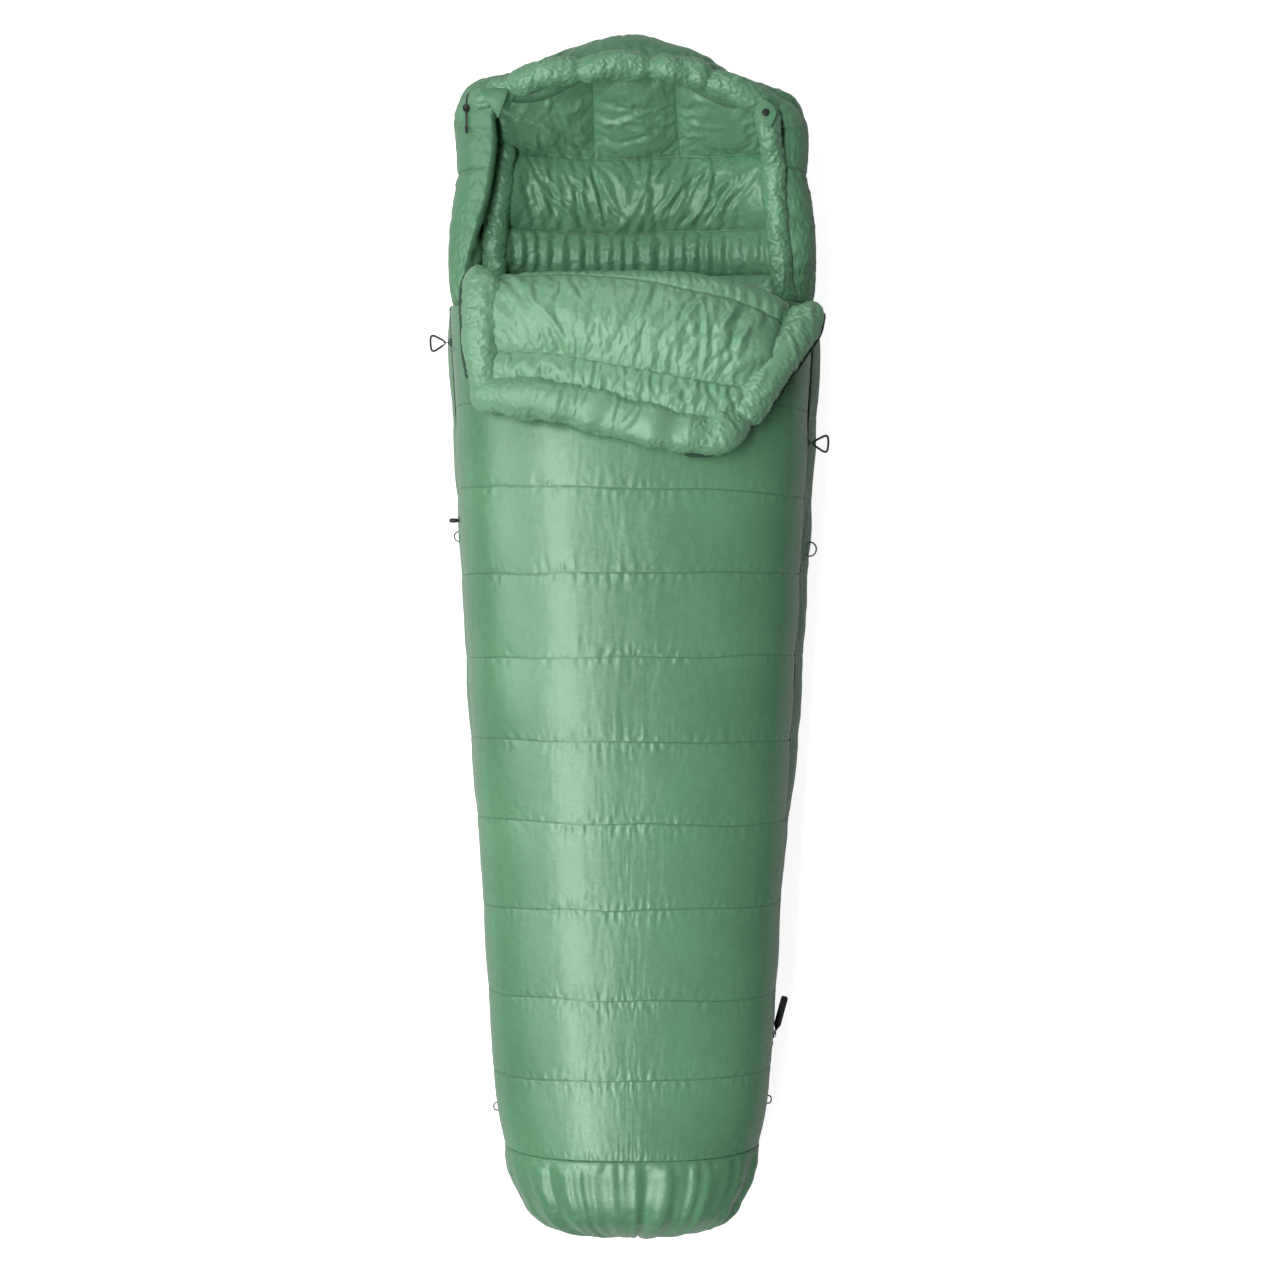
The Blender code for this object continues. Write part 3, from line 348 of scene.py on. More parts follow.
def run_drapes():
    """Steps every queued panel together and keeps the results as plain points."""
    panels = [cloth_object(task) for task in TASKS]
    SCENE.frame_start, SCENE.frame_end = 1, CLOTH_FRAMES + 2
    for k in range(1, CLOTH_FRAMES + 1):
        SCENE.frame_set(k)
    depsgraph = bpy.context.evaluated_depsgraph_get()
    for task, panel in zip(TASKS, panels):
        evaluated = panel.evaluated_get(depsgraph)
        mesh = evaluated.to_mesh()
        flat = np.zeros(len(mesh.vertices) * 3)
        mesh.vertices.foreach_get("co", flat)
        evaluated.to_mesh_clear()
        result = flat.reshape(task["grid"].shape)
        if not np.isfinite(result).all():
            result = task["start"]
        move = result - task["grid"]
        size = np.linalg.norm(move, axis=-1, keepdims=True)
        move = move * np.minimum(1.0, task["cap"] / np.maximum(size, 1e-9))
        CLOTH[task["key"]] = task["grid"] + move
    for panel in panels:
        bpy.data.objects.remove(panel, do_unlink=True)
    SCENE.frame_set(1)


# ================================================================ materials
def linear(value):
    value = value / 255.0
    return value / 12.92 if value <= 0.04045 else ((value + 0.055) / 1.055) ** 2.4


def colour(red, green, blue):
    """8-bit sRGB to linear RGBA."""
    return (linear(red), linear(green), linear(blue), 1.0)


class Shader:
    """Short way to write the node tree of a material or world."""

    def __init__(self, owner):
        owner.use_nodes = True
        self.owner = owner
        self.tree = owner.node_tree

    def feed(self, node, inputs):
        """Links each input to a socket, or gives it a value."""
        for key, value in inputs.items():
            if isinstance(value, bpy.types.NodeSocket):
                self.tree.links.new(value, node.inputs[key])
            else:
                node.inputs[key].default_value = value

    def add(self, kind, inputs=None, **settings):
        """Makes a node and returns its outputs."""
        node = self.tree.nodes.new("ShaderNode" + kind)
        for key, value in settings.items():
            setattr(node, key, value)
        self.feed(node, inputs or {})
        return node.outputs

    def surface(self, inputs):
        self.feed(self.tree.nodes["Principled BSDF"], inputs)
        return self.owner

    def noise(self, vector, scale, detail, roughness=0.5, distortion=0.0):
        return self.add("TexNoise", {"Vector": vector, "Scale": scale, "Detail": detail,
                                     "Roughness": roughness, "Distortion": distortion})["Fac"]

    def bands(self, vector, pitch, direction, distortion=0.0):
        scale = 2 * math.pi / (20.0 * pitch)
        return self.add("TexWave", {"Vector": vector, "Scale": scale,
                                    "Distortion": distortion},
                        wave_type="BANDS", bands_direction=direction)["Fac"]

    def bump(self, height, strength, distance, under=None):
        inputs = {"Height": height, "Strength": strength, "Distance": distance}
        if under is not None:
            inputs["Normal"] = under
        return self.add("Bump", inputs)["Normal"]

    def remap(self, value, low, high, from_low=0.0, from_high=1.0):
        return self.add("MapRange", {"Value": value, "From Min": from_low,
                                     "From Max": from_high, "To Min": low,
                                     "To Max": high})["Result"]

    def mix(self, factor, first, second):
        return self.add("Mix", {"Factor": factor, "A": first, "B": second},
                        data_type="RGBA")["Result"]


def fabric(name, rgb, rough, sheen=0.25, weave=0.0009, weave_depth=0.25, crinkle=0.35,
           fine=0.25, uv=True, spec=0.5):
    """Woven cloth: drifting colour, soft sheen, fine weave and small crinkles."""
    shader = Shader(bpy.data.materials.new(name))
    coords = shader.add("TexCoord")
    place_ = coords["Object"]
    broad = shader.noise(place_, scale=5.0, detail=2.0)
    small = shader.noise(place_, scale=60.0, detail=3.0, roughness=0.55)
    drift = shader.add("Math", {0: small, 1: 0.35, 2: broad}, operation="MULTIPLY_ADD")[0]
    drift = shader.remap(drift, low=0.90, high=1.10, from_low=0.45, from_high=0.90)
    # painted shade: the cloth darkens where a seam is marked, standing in for the shade in the seam's groove
    seam = shader.add("Attribute", attribute_name="seam")["Fac"]
    seam_shade = shader.add("Math", {0: seam, 1: -0.42, 2: 1.0}, operation="MULTIPLY_ADD")[0]
    value = shader.add("Math", {0: drift, 1: seam_shade}, operation="MULTIPLY")[0]
    base = shader.add("HueSaturation", {"Color": colour(*rgb), "Value": value})["Color"]
    source = coords["UV"] if uv else place_
    threads = [shader.bands(source, weave, axis) for axis in "XY"]
    cloth = shader.add("Math", {0: threads[0], 1: threads[1]}, operation="MAXIMUM")[0]
    normal = shader.bump(cloth, strength=weave_depth, distance=0.00012)
    medium = shader.noise(place_, scale=42.0, detail=3.0, roughness=0.55, distortion=0.6)
    normal = shader.bump(medium, strength=crinkle, distance=0.0025, under=normal)
    tiny = shader.noise(place_, scale=190.0, detail=2.0, distortion=0.3)
    normal = shader.bump(tiny, strength=fine, distance=0.0005, under=normal)
    return shader.surface({
        "Base Color": base, "Normal": normal,
        "Roughness": shader.remap(small, rough - 0.04, rough + 0.05),
        "Specular IOR Level": spec, "Specular Tint": (0.80, 1.0, 0.86, 1.0),
        "Sheen Weight": sheen, "Sheen Roughness": 0.45, "Sheen Tint": colour(200, 235, 205)})


def hard(name, rgb, rough, metallic=0.0, bump=0.15, wear=0.15):
    """Moulding, casting, wire or thread: fine texture, a little lighter along its edges."""
    shader = Shader(bpy.data.materials.new(name))
    grain = shader.noise(shader.add("TexCoord")["Object"], scale=900.0, detail=3.0)
    normal = shader.bump(grain, strength=bump, distance=0.0001)
    edges = shader.remap(shader.add("NewGeometry")["Pointiness"], low=0.0, high=wear,
                         from_low=0.50, from_high=0.62)
    worn = colour(*[min(255, value + 90) for value in rgb])
    return shader.surface({"Base Color": shader.mix(edges, colour(*rgb), worn),
                           "Normal": normal, "Metallic": metallic,
                           "Roughness": shader.remap(grain, rough - 0.08, rough + 0.08)})


def braid(name, rgb):
    """Braided cord: slanted ridges and soft fibres."""
    shader = Shader(bpy.data.materials.new(name))
    ridges = shader.bands(shader.add("TexCoord")["Object"], pitch=0.0012,
                          direction="DIAGONAL", distortion=1.5)
    normal = shader.bump(ridges, strength=0.6, distance=0.0002)
    low = colour(*[int(value * 0.7) for value in rgb])
    high = colour(*[min(255, int(value * 1.25) + 8) for value in rgb])
    return shader.surface({"Base Color": shader.mix(ridges, low, high), "Normal": normal,
                           "Roughness": 0.75, "Sheen Weight": 0.3})


SHELL = fabric("satin_shell", (98, 150, 112), rough=0.27, sheen=0.08, crinkle=0.10,
               fine=0.08, spec=0.85)
SHELL_HOOD = fabric("satin_shell_hood", (96, 148, 111), rough=0.40, sheen=0.15, crinkle=0.3,
                    fine=0.15)
LINER = fabric("satin_liner", (108, 160, 122), rough=0.32, sheen=0.15, crinkle=0.42,
               fine=0.20, spec=0.7)
# the flap's liner is the same cloth as LINER, given a lighter colour: painted light, for the flap lying open
# to the lamps
LINER_FLAP_PAINTED_LIT = fabric("satin_liner_flap_painted_lit", (118, 168, 131), rough=0.33, sheen=0.15,
                    crinkle=0.42, fine=0.20, spec=0.7)
TAPE = fabric("zip_tape_twill", (44, 84, 60), rough=0.75, sheen=0.1, weave=0.0012,
              weave_depth=0.8, crinkle=0.1, uv=False, spec=0.3)
COIL = hard("zip_coil", (30, 52, 40), rough=0.42)
METAL = hard("dark_casting", (22, 24, 23), rough=0.52, metallic=0.20, wear=0.10)
PLASTIC = hard("black_moulding", (22, 23, 24), rough=0.45)
CORD = braid("braided_cord", (40, 45, 41))
GREY_CORD = braid("grey_cord", (98, 124, 108))
WEBBING = fabric("black_webbing", (24, 26, 26), rough=0.7, weave=0.0016, weave_depth=1.0,
                 crinkle=0.05, uv=False, spec=0.3)
THREAD = hard("thread", (86, 132, 98), rough=0.6, bump=0.1)
STEEL = hard("spring_wire", (160, 162, 165), rough=0.25, metallic=1.0)


# ================================================================ grids into closed pieces
def make(name, verts, faces, materials, uv=None, face_material=None, sharp=None):
    mesh = bpy.data.meshes.new(name)
    mesh.from_pydata(np.asarray(verts, float).reshape(-1, 3).tolist(), [],
                     [list(map(int, face)) for face in faces])
    mesh.validate()
    for material in materials:
        mesh.materials.append(material)
    if uv is not None:
        layer = mesh.uv_layers.new(name="UVMap")
        index = np.zeros(len(mesh.loops), np.int32)
        mesh.loops.foreach_get("vertex_index", index)
        layer.data.foreach_set("uv", np.asarray(uv, np.float32)[index].ravel())
    # the list no longer fits if validate() dropped a face
    if face_material is not None and len(face_material) == len(mesh.polygons):
        mesh.polygons.foreach_set("material_index", np.asarray(face_material, np.int32))
    mesh.shade_smooth()
    if sharp:
        mesh.set_sharp_from_angle(angle=math.radians(sharp))
    piece = bpy.data.objects.new(name, mesh)
    SCENE.collection.objects.link(piece)
    return piece


def arc_uv(grid):
    """UVs in metres along the rows and columns."""
    across = np.cumsum(np.linalg.norm(np.diff(grid, axis=1), axis=-1), 1)
    across = np.concatenate([np.zeros((grid.shape[0], 1)), across], 1)
    along = np.cumsum(np.linalg.norm(np.diff(grid, axis=0), axis=-1), 0)
    along = np.concatenate([np.zeros((1, grid.shape[1])), along], 0)
    return np.stack([across - across.mean(1, keepdims=True),
                     np.broadcast_to(along.mean(1, keepdims=True), across.shape)], -1)


def pad(name, outer, inner, ratio, materials, inside):
    """Closed pad: a fine outer grid and an inner one with every ratio-th point."""
    rows, cols = outer.shape[:2]
    rows_in, cols_in = inner.shape[:2]
    flip = np.sum((outer - inside) * grid_normals(outer)) < 0
    base = rows * cols
    faces = grid_faces(rows, cols).tolist()
    outer_count = len(faces)
    faces += (grid_faces(rows_in, cols_in)[:, ::-1] + base).tolist()

    def fine(j, i):
        return j * cols + i

    def coarse(j, i):
        return base + j * cols_in + i

    for k in range(cols_in - 1):
        span = range(k * ratio, (k + 1) * ratio + 1)
        faces.append([fine(0, i) for i in reversed(span)] + [coarse(0, k), coarse(0, k + 1)])
        faces.append([fine(rows - 1, i) for i in span]
                     + [coarse(rows_in - 1, k + 1), coarse(rows_in - 1, k)])
    for k in range(rows_in - 1):
        span = range(k * ratio, (k + 1) * ratio + 1)
        faces.append([fine(j, 0) for j in span] + [coarse(k + 1, 0), coarse(k, 0)])
        faces.append([fine(j, cols - 1) for j in reversed(span)]
                     + [coarse(k, cols_in - 1), coarse(k + 1, cols_in - 1)])
    if flip:
        faces = [face[::-1] for face in faces]
    uv = np.concatenate([arc_uv(outer).reshape(-1, 2), arc_uv(inner).reshape(-1, 2)])
    other = len(materials) - 1
    face_material = [0] * outer_count + [other] * (len(faces) - outer_count)
    verts = np.concatenate([outer.reshape(-1, 3), inner.reshape(-1, 3)])
    return make(name, verts, faces, materials, uv, face_material)


def closed_tube(name, grid, material):
    """Closed tube from a grid of rings, each end a fan round a middle point."""
    rows, cols = grid.shape[:2]
    faces = grid_faces(rows, cols, ring=True).tolist()
    verts = np.concatenate([grid.reshape(-1, 3), [grid[0].mean(0), grid[-1].mean(0)]])
    last = (rows - 1) * cols
    for i in range(cols):
        k = (i + 1) % cols
        faces.append([k, i, rows * cols])
        faces.append([last + i, last + k, rows * cols + 1])
    if np.sum((grid - grid.mean(1, keepdims=True)) * grid_normals(grid, True)) < 0:
        faces = [face[::-1] for face in faces]
    uv = arc_uv(np.concatenate([grid, grid[:, :1]], 1))[:, :-1].reshape(-1, 2)
    return make(name, verts, faces, [material], np.concatenate([uv, uv[:1], uv[-1:]]))


def turn_outward(piece):
    """Turns every separate shell of a mesh outward."""
    shells = bmesh.new()
    shells.from_mesh(piece.data)
    bmesh.ops.recalc_face_normals(shells, faces=shells.faces[:])
    shells.to_mesh(piece.data)
    shells.free()


def bars(name, grids, material, sharp=None):
    """Many small closed bars in one mesh; grids is (bar, ring, point, xyz)."""
    count, rings, around = grids.shape[:3]
    one = grid_faces(rings, around, ring=True).tolist()
    one.append(list(range(around))[::-1])
    one.append([(rings - 1) * around + i for i in range(around)])
    faces = [[k * rings * around + corner for corner in face]
             for k in range(count) for face in one]
    piece = make(name, grids, faces, [material], sharp=sharp)
    turn_outward(piece)
    return piece


def place(piece, body, slot, *nodes):
    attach(piece, body)
    if nodes:
        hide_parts(*nodes)


def paint_seam_shade(piece, grid, rows, strength=1.0, extra=()):
    """Strength of the painted seam shade per point of the outer grid; the inner grid has none."""
    marks = np.zeros(grid.shape[:2])
    marks[rows] = strength
    for spot in extra:
        marks[spot] = 1.0
    values = np.zeros(len(piece.data.vertices), np.float32)
    values[:marks.size] = marks.reshape(-1)
    layer = piece.data.attributes.new("seam", "FLOAT", "POINT")
    layer.data.foreach_set("value", values)


# ================================================================ gathers and creases
def puckers(along, away, seed, pitch, height, reach, lean=0.6):
    """Small folds that leave a gathered seam: along runs with it, away is the distance."""
    phase = 2 * math.pi * along / pitch + 1.9 * waves(along, seed, 6 * pitch)
    phase = phase + lean * away / pitch * waves(along, seed + 1, 8 * pitch)
    strength = 0.12 + 0.88 * smooth(waves(along, seed + 2, 6 * pitch) * 0.75 + 0.45)
    local = 0.72 * reach * (0.7 + 0.5 * waves(along, seed + 3, 3 * pitch, 1) ** 2)
    fade = smooth(away / 0.006) * np.exp(-away / local)
    ripple = np.sin(2 * phase + 1.0) * np.exp(-away / (0.4 * reach))
    return height * strength * fade * (np.sin(phase) + 0.35 * ripple)


def creases(along, away, seed, count, box, angle, spread, length, width, height):
    """Short pulled folds. box is (along low, high, away low, high); length and width are
    ranges; angle and its spread are degrees from the along axis."""
    rng = np.random.default_rng(seed)
    total = np.zeros(np.broadcast(along, away).shape)
    for _ in range(count):
        at_along, at_away = rng.uniform(box[0], box[1]), rng.uniform(box[2], box[3])
        turn = math.radians(angle + rng.normal(0, spread))
        long, wide = rng.uniform(*length), rng.uniform(*width)
        rise = height * rng.uniform(0.4, 1.0) * (1 if rng.uniform() < 0.65 else -1)
        bend = rng.normal(0, 0.25)
        x, y = along - at_along, away - at_away
        down = x * math.cos(turn) + y * math.sin(turn)
        aside = -x * math.sin(turn) + y * math.cos(turn) + bend * down * down / long
        body = np.clip(1 - (down / long) ** 2, 0, 1)
        ratio = np.abs(aside) / (wide * (0.35 + 0.65 * body))
        total = total + rise * body * (np.exp(-ratio * ratio * 0.9)
                                       - 0.35 * np.exp(-((ratio - 1.9) ** 2)))
    return total


# ================================================================ top and under quilts
SEAM_Y = (-0.872, -0.739, -0.606, -0.4545, -0.3115, -0.175, -0.035, 0.104, 0.2425, 0.385)
SEAM_TILT = (0.0, 0.003, -0.003, 0.002, -0.004, -0.003, 0.002, 0.001, -0.0078, -0.004)
TOP_ROWS, UNDER_ROWS = 15, 12       # rows per baffle
QUILT_LIFT, QUILT_BULGE = 0.003, 0.0022


def body_quilt(key, end, rows, cols, points, section, seed, height, shrink, tilted=False,
               fuller=None):
    """Queues a quilt of baffles up to y = end. section is (width, height, power)."""
    seams = np.array(SEAM_Y + (end,))
    count = len(seams)
    j = np.arange((count - 1) * rows + 1)
    baffle = np.minimum(j // rows, count - 2)
    part = (j - baffle * rows) / rows
    is_seam = j % rows == 0
    angle = even_angles(*section, cols - 1)
    across = np.sign(np.cos(angle)) * np.abs(np.cos(angle)) ** (2.0 / section[2])
    tilt = np.array(SEAM_TILT + (0.0,)) if tilted else np.zeros(count)
    wander = np.stack([0.0022 * waves(across, seed + 40 + k, 0.9) * (0 < k < count - 1)
                       for k in range(count)])
    low, high = (seams[k][:, None] + tilt[k][:, None] * across + wander[k]
                 for k in (baffle, baffle + 1))
    # rows crowd towards the seams
    dense = part - 0.62 * np.sin(2 * math.pi * part) / (2 * math.pi)
    y = low + (high - low) * dense[:, None]
    base = points(angle[None, :], y, 0.0)
    run = run_length(base[len(base) // 2])
    along = np.broadcast_to(run, y.shape)
    gap = high - low
    after, before = dense[:, None] * gap, (1 - dense[:, None]) * gap
    off = (QUILT_LIFT + QUILT_BULGE * arch(dense)[:, None]) * np.ones_like(y)
    for k in range(count - 1):
        rows_in = baffle == k
        off[rows_in] += puckers(along[rows_in], after[rows_in], seed + 7 * k, height=height,
                                pitch=0.017 + 0.003 * (k % 3), reach=0.012 + 0.004 * (k % 2))
        off[rows_in] += puckers(along[rows_in], before[rows_in], seed + 7 * k + 3,
                                height=height * 1.15, pitch=0.018, reach=0.014)
    off += (0.0010 * hills(along, y, seed + 90, 0.16)) * arch(dense, 1.6)[:, None]
    off += creases(along, y, seed + 91, 12, (0.05, run[-1] - 0.05, -0.85, 0.40), angle=90,
                   spread=42, length=(0.02, 0.045), width=(0.003, 0.006),
                   height=0.0011) * arch(dense, 4.0)[:, None]
    # the cloth draws in along the zip seams
    edge = np.minimum(run, run[-1] - run)
    off *= smooth(edge / 0.035)[None, :] * 0.9 + 0.1
    if fuller is not None:
        off = off + fuller(y, edge[None, :], across[None, :])
    drape(key, points(angle[None, :], y, off), pinned(y.shape, is_seam),
          points(angle[None, :], y, -0.02), shrink=shrink, cap=0.006)
    return dict(angle=angle, y=y, seam=is_seam, part=part)


def under_side_puff(y, edge, across):
    """The underside is fuller beside the zips, most at chest height on the right."""
    chest = smooth((y + 0.50) / 0.35) * (1 - 0.5 * smooth((y - 0.50) / 0.07))
    height = np.where(across > 0, 0.020, 0.010) * chest + 0.002
    return height * np.exp(-((edge - 0.050) / 0.042) ** 2)


TOP = body_quilt("top", 0.556, TOP_ROWS, 169, top_points, (0.28, 0.155, 2.8), seed=100,
                 height=0.0013, shrink=-0.0004, tilted=True)
UNDER = body_quilt("under", 0.572, UNDER_ROWS, 145, under_points, (0.28, 0.131, 3.5),
                   seed=300, height=0.0012, shrink=-0.0015, fuller=under_side_puff)

# ================================================================ foot cup
# fraction towards the toe, width ratio, height ratio
FOOT_STATIONS = ((0.0, 1.000, 1.00), (0.28, 0.985, 0.985), (0.54, 0.905, 0.94),
                 (0.76, 0.82, 0.84), (0.88, 0.71, 0.70), (0.96, 0.54, 0.54),
                 (1.0, 0.36, 0.38))
FOOT_Y, FOOT_LENGTH = -0.8728, 0.157
FOOT_RING = np.concatenate([
    even_angles(0.21, 0.126, 2.6, 80)[:-1],
    2 * math.pi - even_angles(0.21, 0.126, 3.0, 64)[::-1][:-1]])
FOOT_PARTS = np.concatenate([np.linspace(0, 0.80, 22), np.linspace(0.84, 1.0, 9)])


def foot_points(part, off):
    part = np.asarray(part)[:, None]
    wide, tall = (table(part, FOOT_STATIONS, column) for column in (1, 2))
    y = FOOT_Y - (FOOT_LENGTH + np.minimum(off, 0)) * part
    width = zip_half(FOOT_Y) * wide
    upper = (FOOT_RING <= math.pi)[None, :]
    angle = np.where(upper, FOOT_RING, 2 * math.pi - FOOT_RING)
    top_x, top_z = superellipse(angle, width, 0.127 * tall, 2.6, off)
    low_x, low_z = superellipse(angle, width, 0.125 * (0.35 + 0.65 * tall), 3.2, off)
    x = np.where(upper, top_x, low_x)
    z = np.where(upper, ZIP_Z + top_z, ZIP_Z - low_z)
    return np.stack(np.broadcast_arrays(x, y, z), -1)


def drape_foot():
    """Queues the foot cup, gathered into long folds that run to the toe."""
    ring = foot_points([0.3], 0.0)[0]
    run = run_length(ring)
    girth = run[-1] + np.linalg.norm(ring[0] - ring[-1])
    along, part = np.meshgrid(run, FOOT_PARTS)
    angle = along / girth * 2 * math.pi
    gather = np.zeros_like(along)
    rng = np.random.default_rng(77)
    for k in (17, 23, 29, 37, 46, 58):
        gather += np.sin(k * angle + rng.uniform(0, 6.28) + 1.2 * np.sin(3 * angle + k)
                         + 0.9 * part * np.sin(5 * angle + k)) * (24.0 / k) ** 0.8
    uneven = np.abs(np.sin(1.5 * angle + 0.4 + 0.5 * np.sin(4 * angle)))
    gather *= 0.0012 * (0.35 + 0.65 * smooth(uneven))
    off = (0.0030 * (1 - part)
           + gather * smooth(part / 0.12) * (1 - 0.3 * smooth((part - 0.75) / 0.25))
           - 0.0040 * smooth(part / 0.3))
    off += puckers(along, part * FOOT_LENGTH, 512, pitch=0.022, height=0.0016, reach=0.045)
    drape("foot", foot_points(FOOT_PARTS, off), pinned(along.shape, [0, -1], ring=True),
          foot_points(FOOT_PARTS, -0.02), ring=True, shrink=-0.012, cap=0.004)


drape_foot()

# ================================================================ hood wall
# x, y round the hood from the right zip end to the left one
WALL_PATH = (
    (0.3125, 0.5745), (0.310, 0.66), (0.304, 0.74), (0.299, 0.82), (0.295, 0.882),
    (0.281, 0.916), (0.238, 0.936), (0.190, 0.957), (0.136, 0.982), (0.073, 1.009),
    (0.0, 1.022), (-0.073, 1.010), (-0.136, 0.988), (-0.190, 0.969), (-0.238, 0.954),
    (-0.282, 0.938), (-0.295, 0.906), (-0.296, 0.84), (-0.302, 0.76), (-0.308, 0.67),
    (-0.3125, 0.5745))
# y, height of the wall
WALL_TOP = ((0.5745, 0.152), (0.66, 0.178), (0.76, 0.193), (0.84, 0.207), (0.89, 0.215),
            (0.93, 0.220), (0.98, 0.230), (1.04, 0.240))
# y, how far the lip reaches in
LIP_RIGHT = ((0.5745, 0.038), (0.66, 0.046), (0.76, 0.056), (0.86, 0.066), (0.93, 0.075))
LIP_LEFT = ((0.5745, 0.026), (0.62, 0.030), (0.68, 0.046), (0.74, 0.066), (0.80, 0.074),
            (0.93, 0.080))
LIP_HEAD, WALL_UNDER_REACH = 0.088, 0.090
WALL_COUNT = 181
# section angles, from under the bag up to the lip
WALL_ANGLES = np.radians(np.concatenate([np.linspace(-84, 0, 15)[:-1],
                                         np.linspace(0, 86, 23)]))
WALL_SEAMS_OUT = [0, 30, 62, 118, 150, 180]
WALL_SEAMS_IN = [0, 22, 44, 62, 90, 118, 136, 158, 180]


def wall_frame():
    """Path, inward direction, height, lip reach and turn (0 at the sides, 1 at the head)."""
    path = spline(WALL_PATH, WALL_COUNT)
    part = np.linspace(0, 1, WALL_COUNT)
    turn = smooth((np.minimum(part, 1 - part) - 0.16) / 0.30)
    side = np.where(path[:, 0] > 0, 1.0, -1.0)
    angle = math.pi + turn * math.pi / 2
    inward = np.stack([np.cos(angle) * side, np.sin(angle)], -1)
    inward[np.abs(path[:, 0]) < 0.004] = (0.0, -1.0)
    y = path[:, 1]
    lip = np.where(side > 0, table(y, LIP_RIGHT), table(y, LIP_LEFT))
    return path, inward, table(y, WALL_TOP), lip * (1 - turn) + LIP_HEAD * turn, turn


WALL_LINE, WALL_INWARD, WALL_HEIGHT, WALL_LIP, WALL_TURN = wall_frame()


def wall_points(off):
    angle = WALL_ANGLES
    power = np.where(angle > 0, 0.64, 0.72)
    cos = np.abs(np.cos(angle)) ** power
    sin = np.sign(np.sin(angle)) * np.abs(np.sin(angle)) ** power
    reach = np.where(angle[None, :] > 0, WALL_LIP[:, None], WALL_UNDER_REACH)
    depth = reach - (reach + off) * cos
    half = WALL_HEIGHT[:, None] / 2
    flat = WALL_LINE[:, None, :] + WALL_INWARD[:, None, :] * depth[..., None]
    return np.concatenate([flat, (half + (half + off) * sin)[..., None]], -1)


def drape_wall():
    """Queues the outer and inner faces of the hood wall."""
    base = wall_points(0.0)
    run, section = run_length(base[:, 12]), run_length(base[40])
    along, up = np.meshgrid(run, section, indexing="ij")
    full, tall = run[-1], section[-1]

    def folds(seams, puff, power, seed, pitch, height, reach):
        off = np.zeros(along.shape)
        for first, last in zip(seams, seams[1:]):
            rows = slice(first, last + 1)
            after, before = along[rows] - run[first], run[last] - along[rows]
            off[rows] += puff[rows] * arch(after / (run[last] - run[first]), power)
            off[rows] += puckers(up[rows], after, seed + first, pitch, height, reach)
            off[rows] += puckers(up[rows], before, seed + 40 + first, pitch, height, reach)
        return off

    puff = 0.0060 * arch(up / tall, 4.0) * (1 - 0.9 * smooth(WALL_TURN[:, None] / 0.4))
    off = folds(WALL_SEAMS_OUT, puff, power=3.0, seed=600, pitch=0.024, height=0.8 * 0.0014,
                reach=0.03)
    off += 0.0020 * hills(along, up, 71, 0.10) * arch(up / tall, 3.0)
    off += creases(along, up, 73, 90, (0, full, 0.03, tall - 0.03), angle=60, spread=40,
                   length=(0.02, 0.06), width=(0.003, 0.007), height=0.0022)
    off += puckers(along, tall - up, 655, pitch=0.026, height=0.0018, reach=0.04)
    low = puckers(along, up - 0.02, 656, pitch=0.028, height=0.0012, reach=0.03)
    off += low * (up > 0.02)
    outer = wall_points(off)
    drape("wall", outer, pinned(along.shape, WALL_SEAMS_OUT), wall_points(-0.02),
          shrink=-0.006, cap=0.0045)

    off = folds(WALL_SEAMS_IN, np.full(along.shape, 0.007), power=2.4, seed=700, pitch=0.022,
                height=0.0026, reach=0.04)
    off += creases(along, up, 72, 70, (0, full, 0.05, tall), angle=90, spread=35,
                   length=(0.03, 0.08), width=(0.004, 0.008), height=0.004)
    depth = -0.030 + 0.006 * (1 - arch(up / tall, 4.0))
    inner = wall_points(depth - off * smooth(np.minimum(up, tall - up) / 0.02))
    drape("wall_in", inner, pinned(along.shape, WALL_SEAMS_IN), outer, shrink=-0.04,
          cap=0.010)


drape_wall()

# ================================================================ hood floor and back
# x, y, z of the rim tube's centre, left to right
RIM_KEYS = (
    (-0.2785, 0.868, 0.164), (-0.2745, 0.887, 0.1780), (-0.256, 0.900, 0.202),
    (-0.228, 0.9085, 0.222), (-0.190, 0.9215, 0.237), (-0.140, 0.9335, 0.247),
    (-0.060, 0.943, 0.2500), (0.0, 0.946, 0.2505), (0.055, 0.943, 0.2500),
    (0.113, 0.931, 0.247), (0.150, 0.918, 0.242), (0.195, 0.902, 0.233),
    (0.236, 0.887, 0.216), (0.262, 0.873, 0.194), (0.272, 0.858, 0.172))
BACK_COLS = 121
BACK_ROWS = (8, 20, 30, 30)                # rows of each zone, the last one rising to the rim
BACK_Y = (0.560, 0.637, 0.716, 0.843)      # zone seams on the floor
BACK_Z = (0.030, 0.044, 0.050, 0.070)
BACK_HALF_WIDTH = ((0.56, 0.262), (0.72, 0.258), (0.843, 0.252))
BACK_HALF = 0.252
BACK_STARTS = np.concatenate([[0], np.cumsum(BACK_ROWS)])
# the two upright seams of the last zone
BACK_UPRIGHTS = [int(round((x / (BACK_HALF - 0.012) + 1) / 2 * (BACK_COLS - 1)))
                 for x in (-0.064, 0.080)]
# puff, pucker height, pitch and reach; zone 1 has even folds in place of puckers
BACK_FOLDS = ((0.008, 0.002, 0.024, 0.04), (0.012, 0.0032, 0.026, None),
              (0.020, 0.0034, 0.024, 0.05), (0.010, 0.0026, 0.022, 0.035))
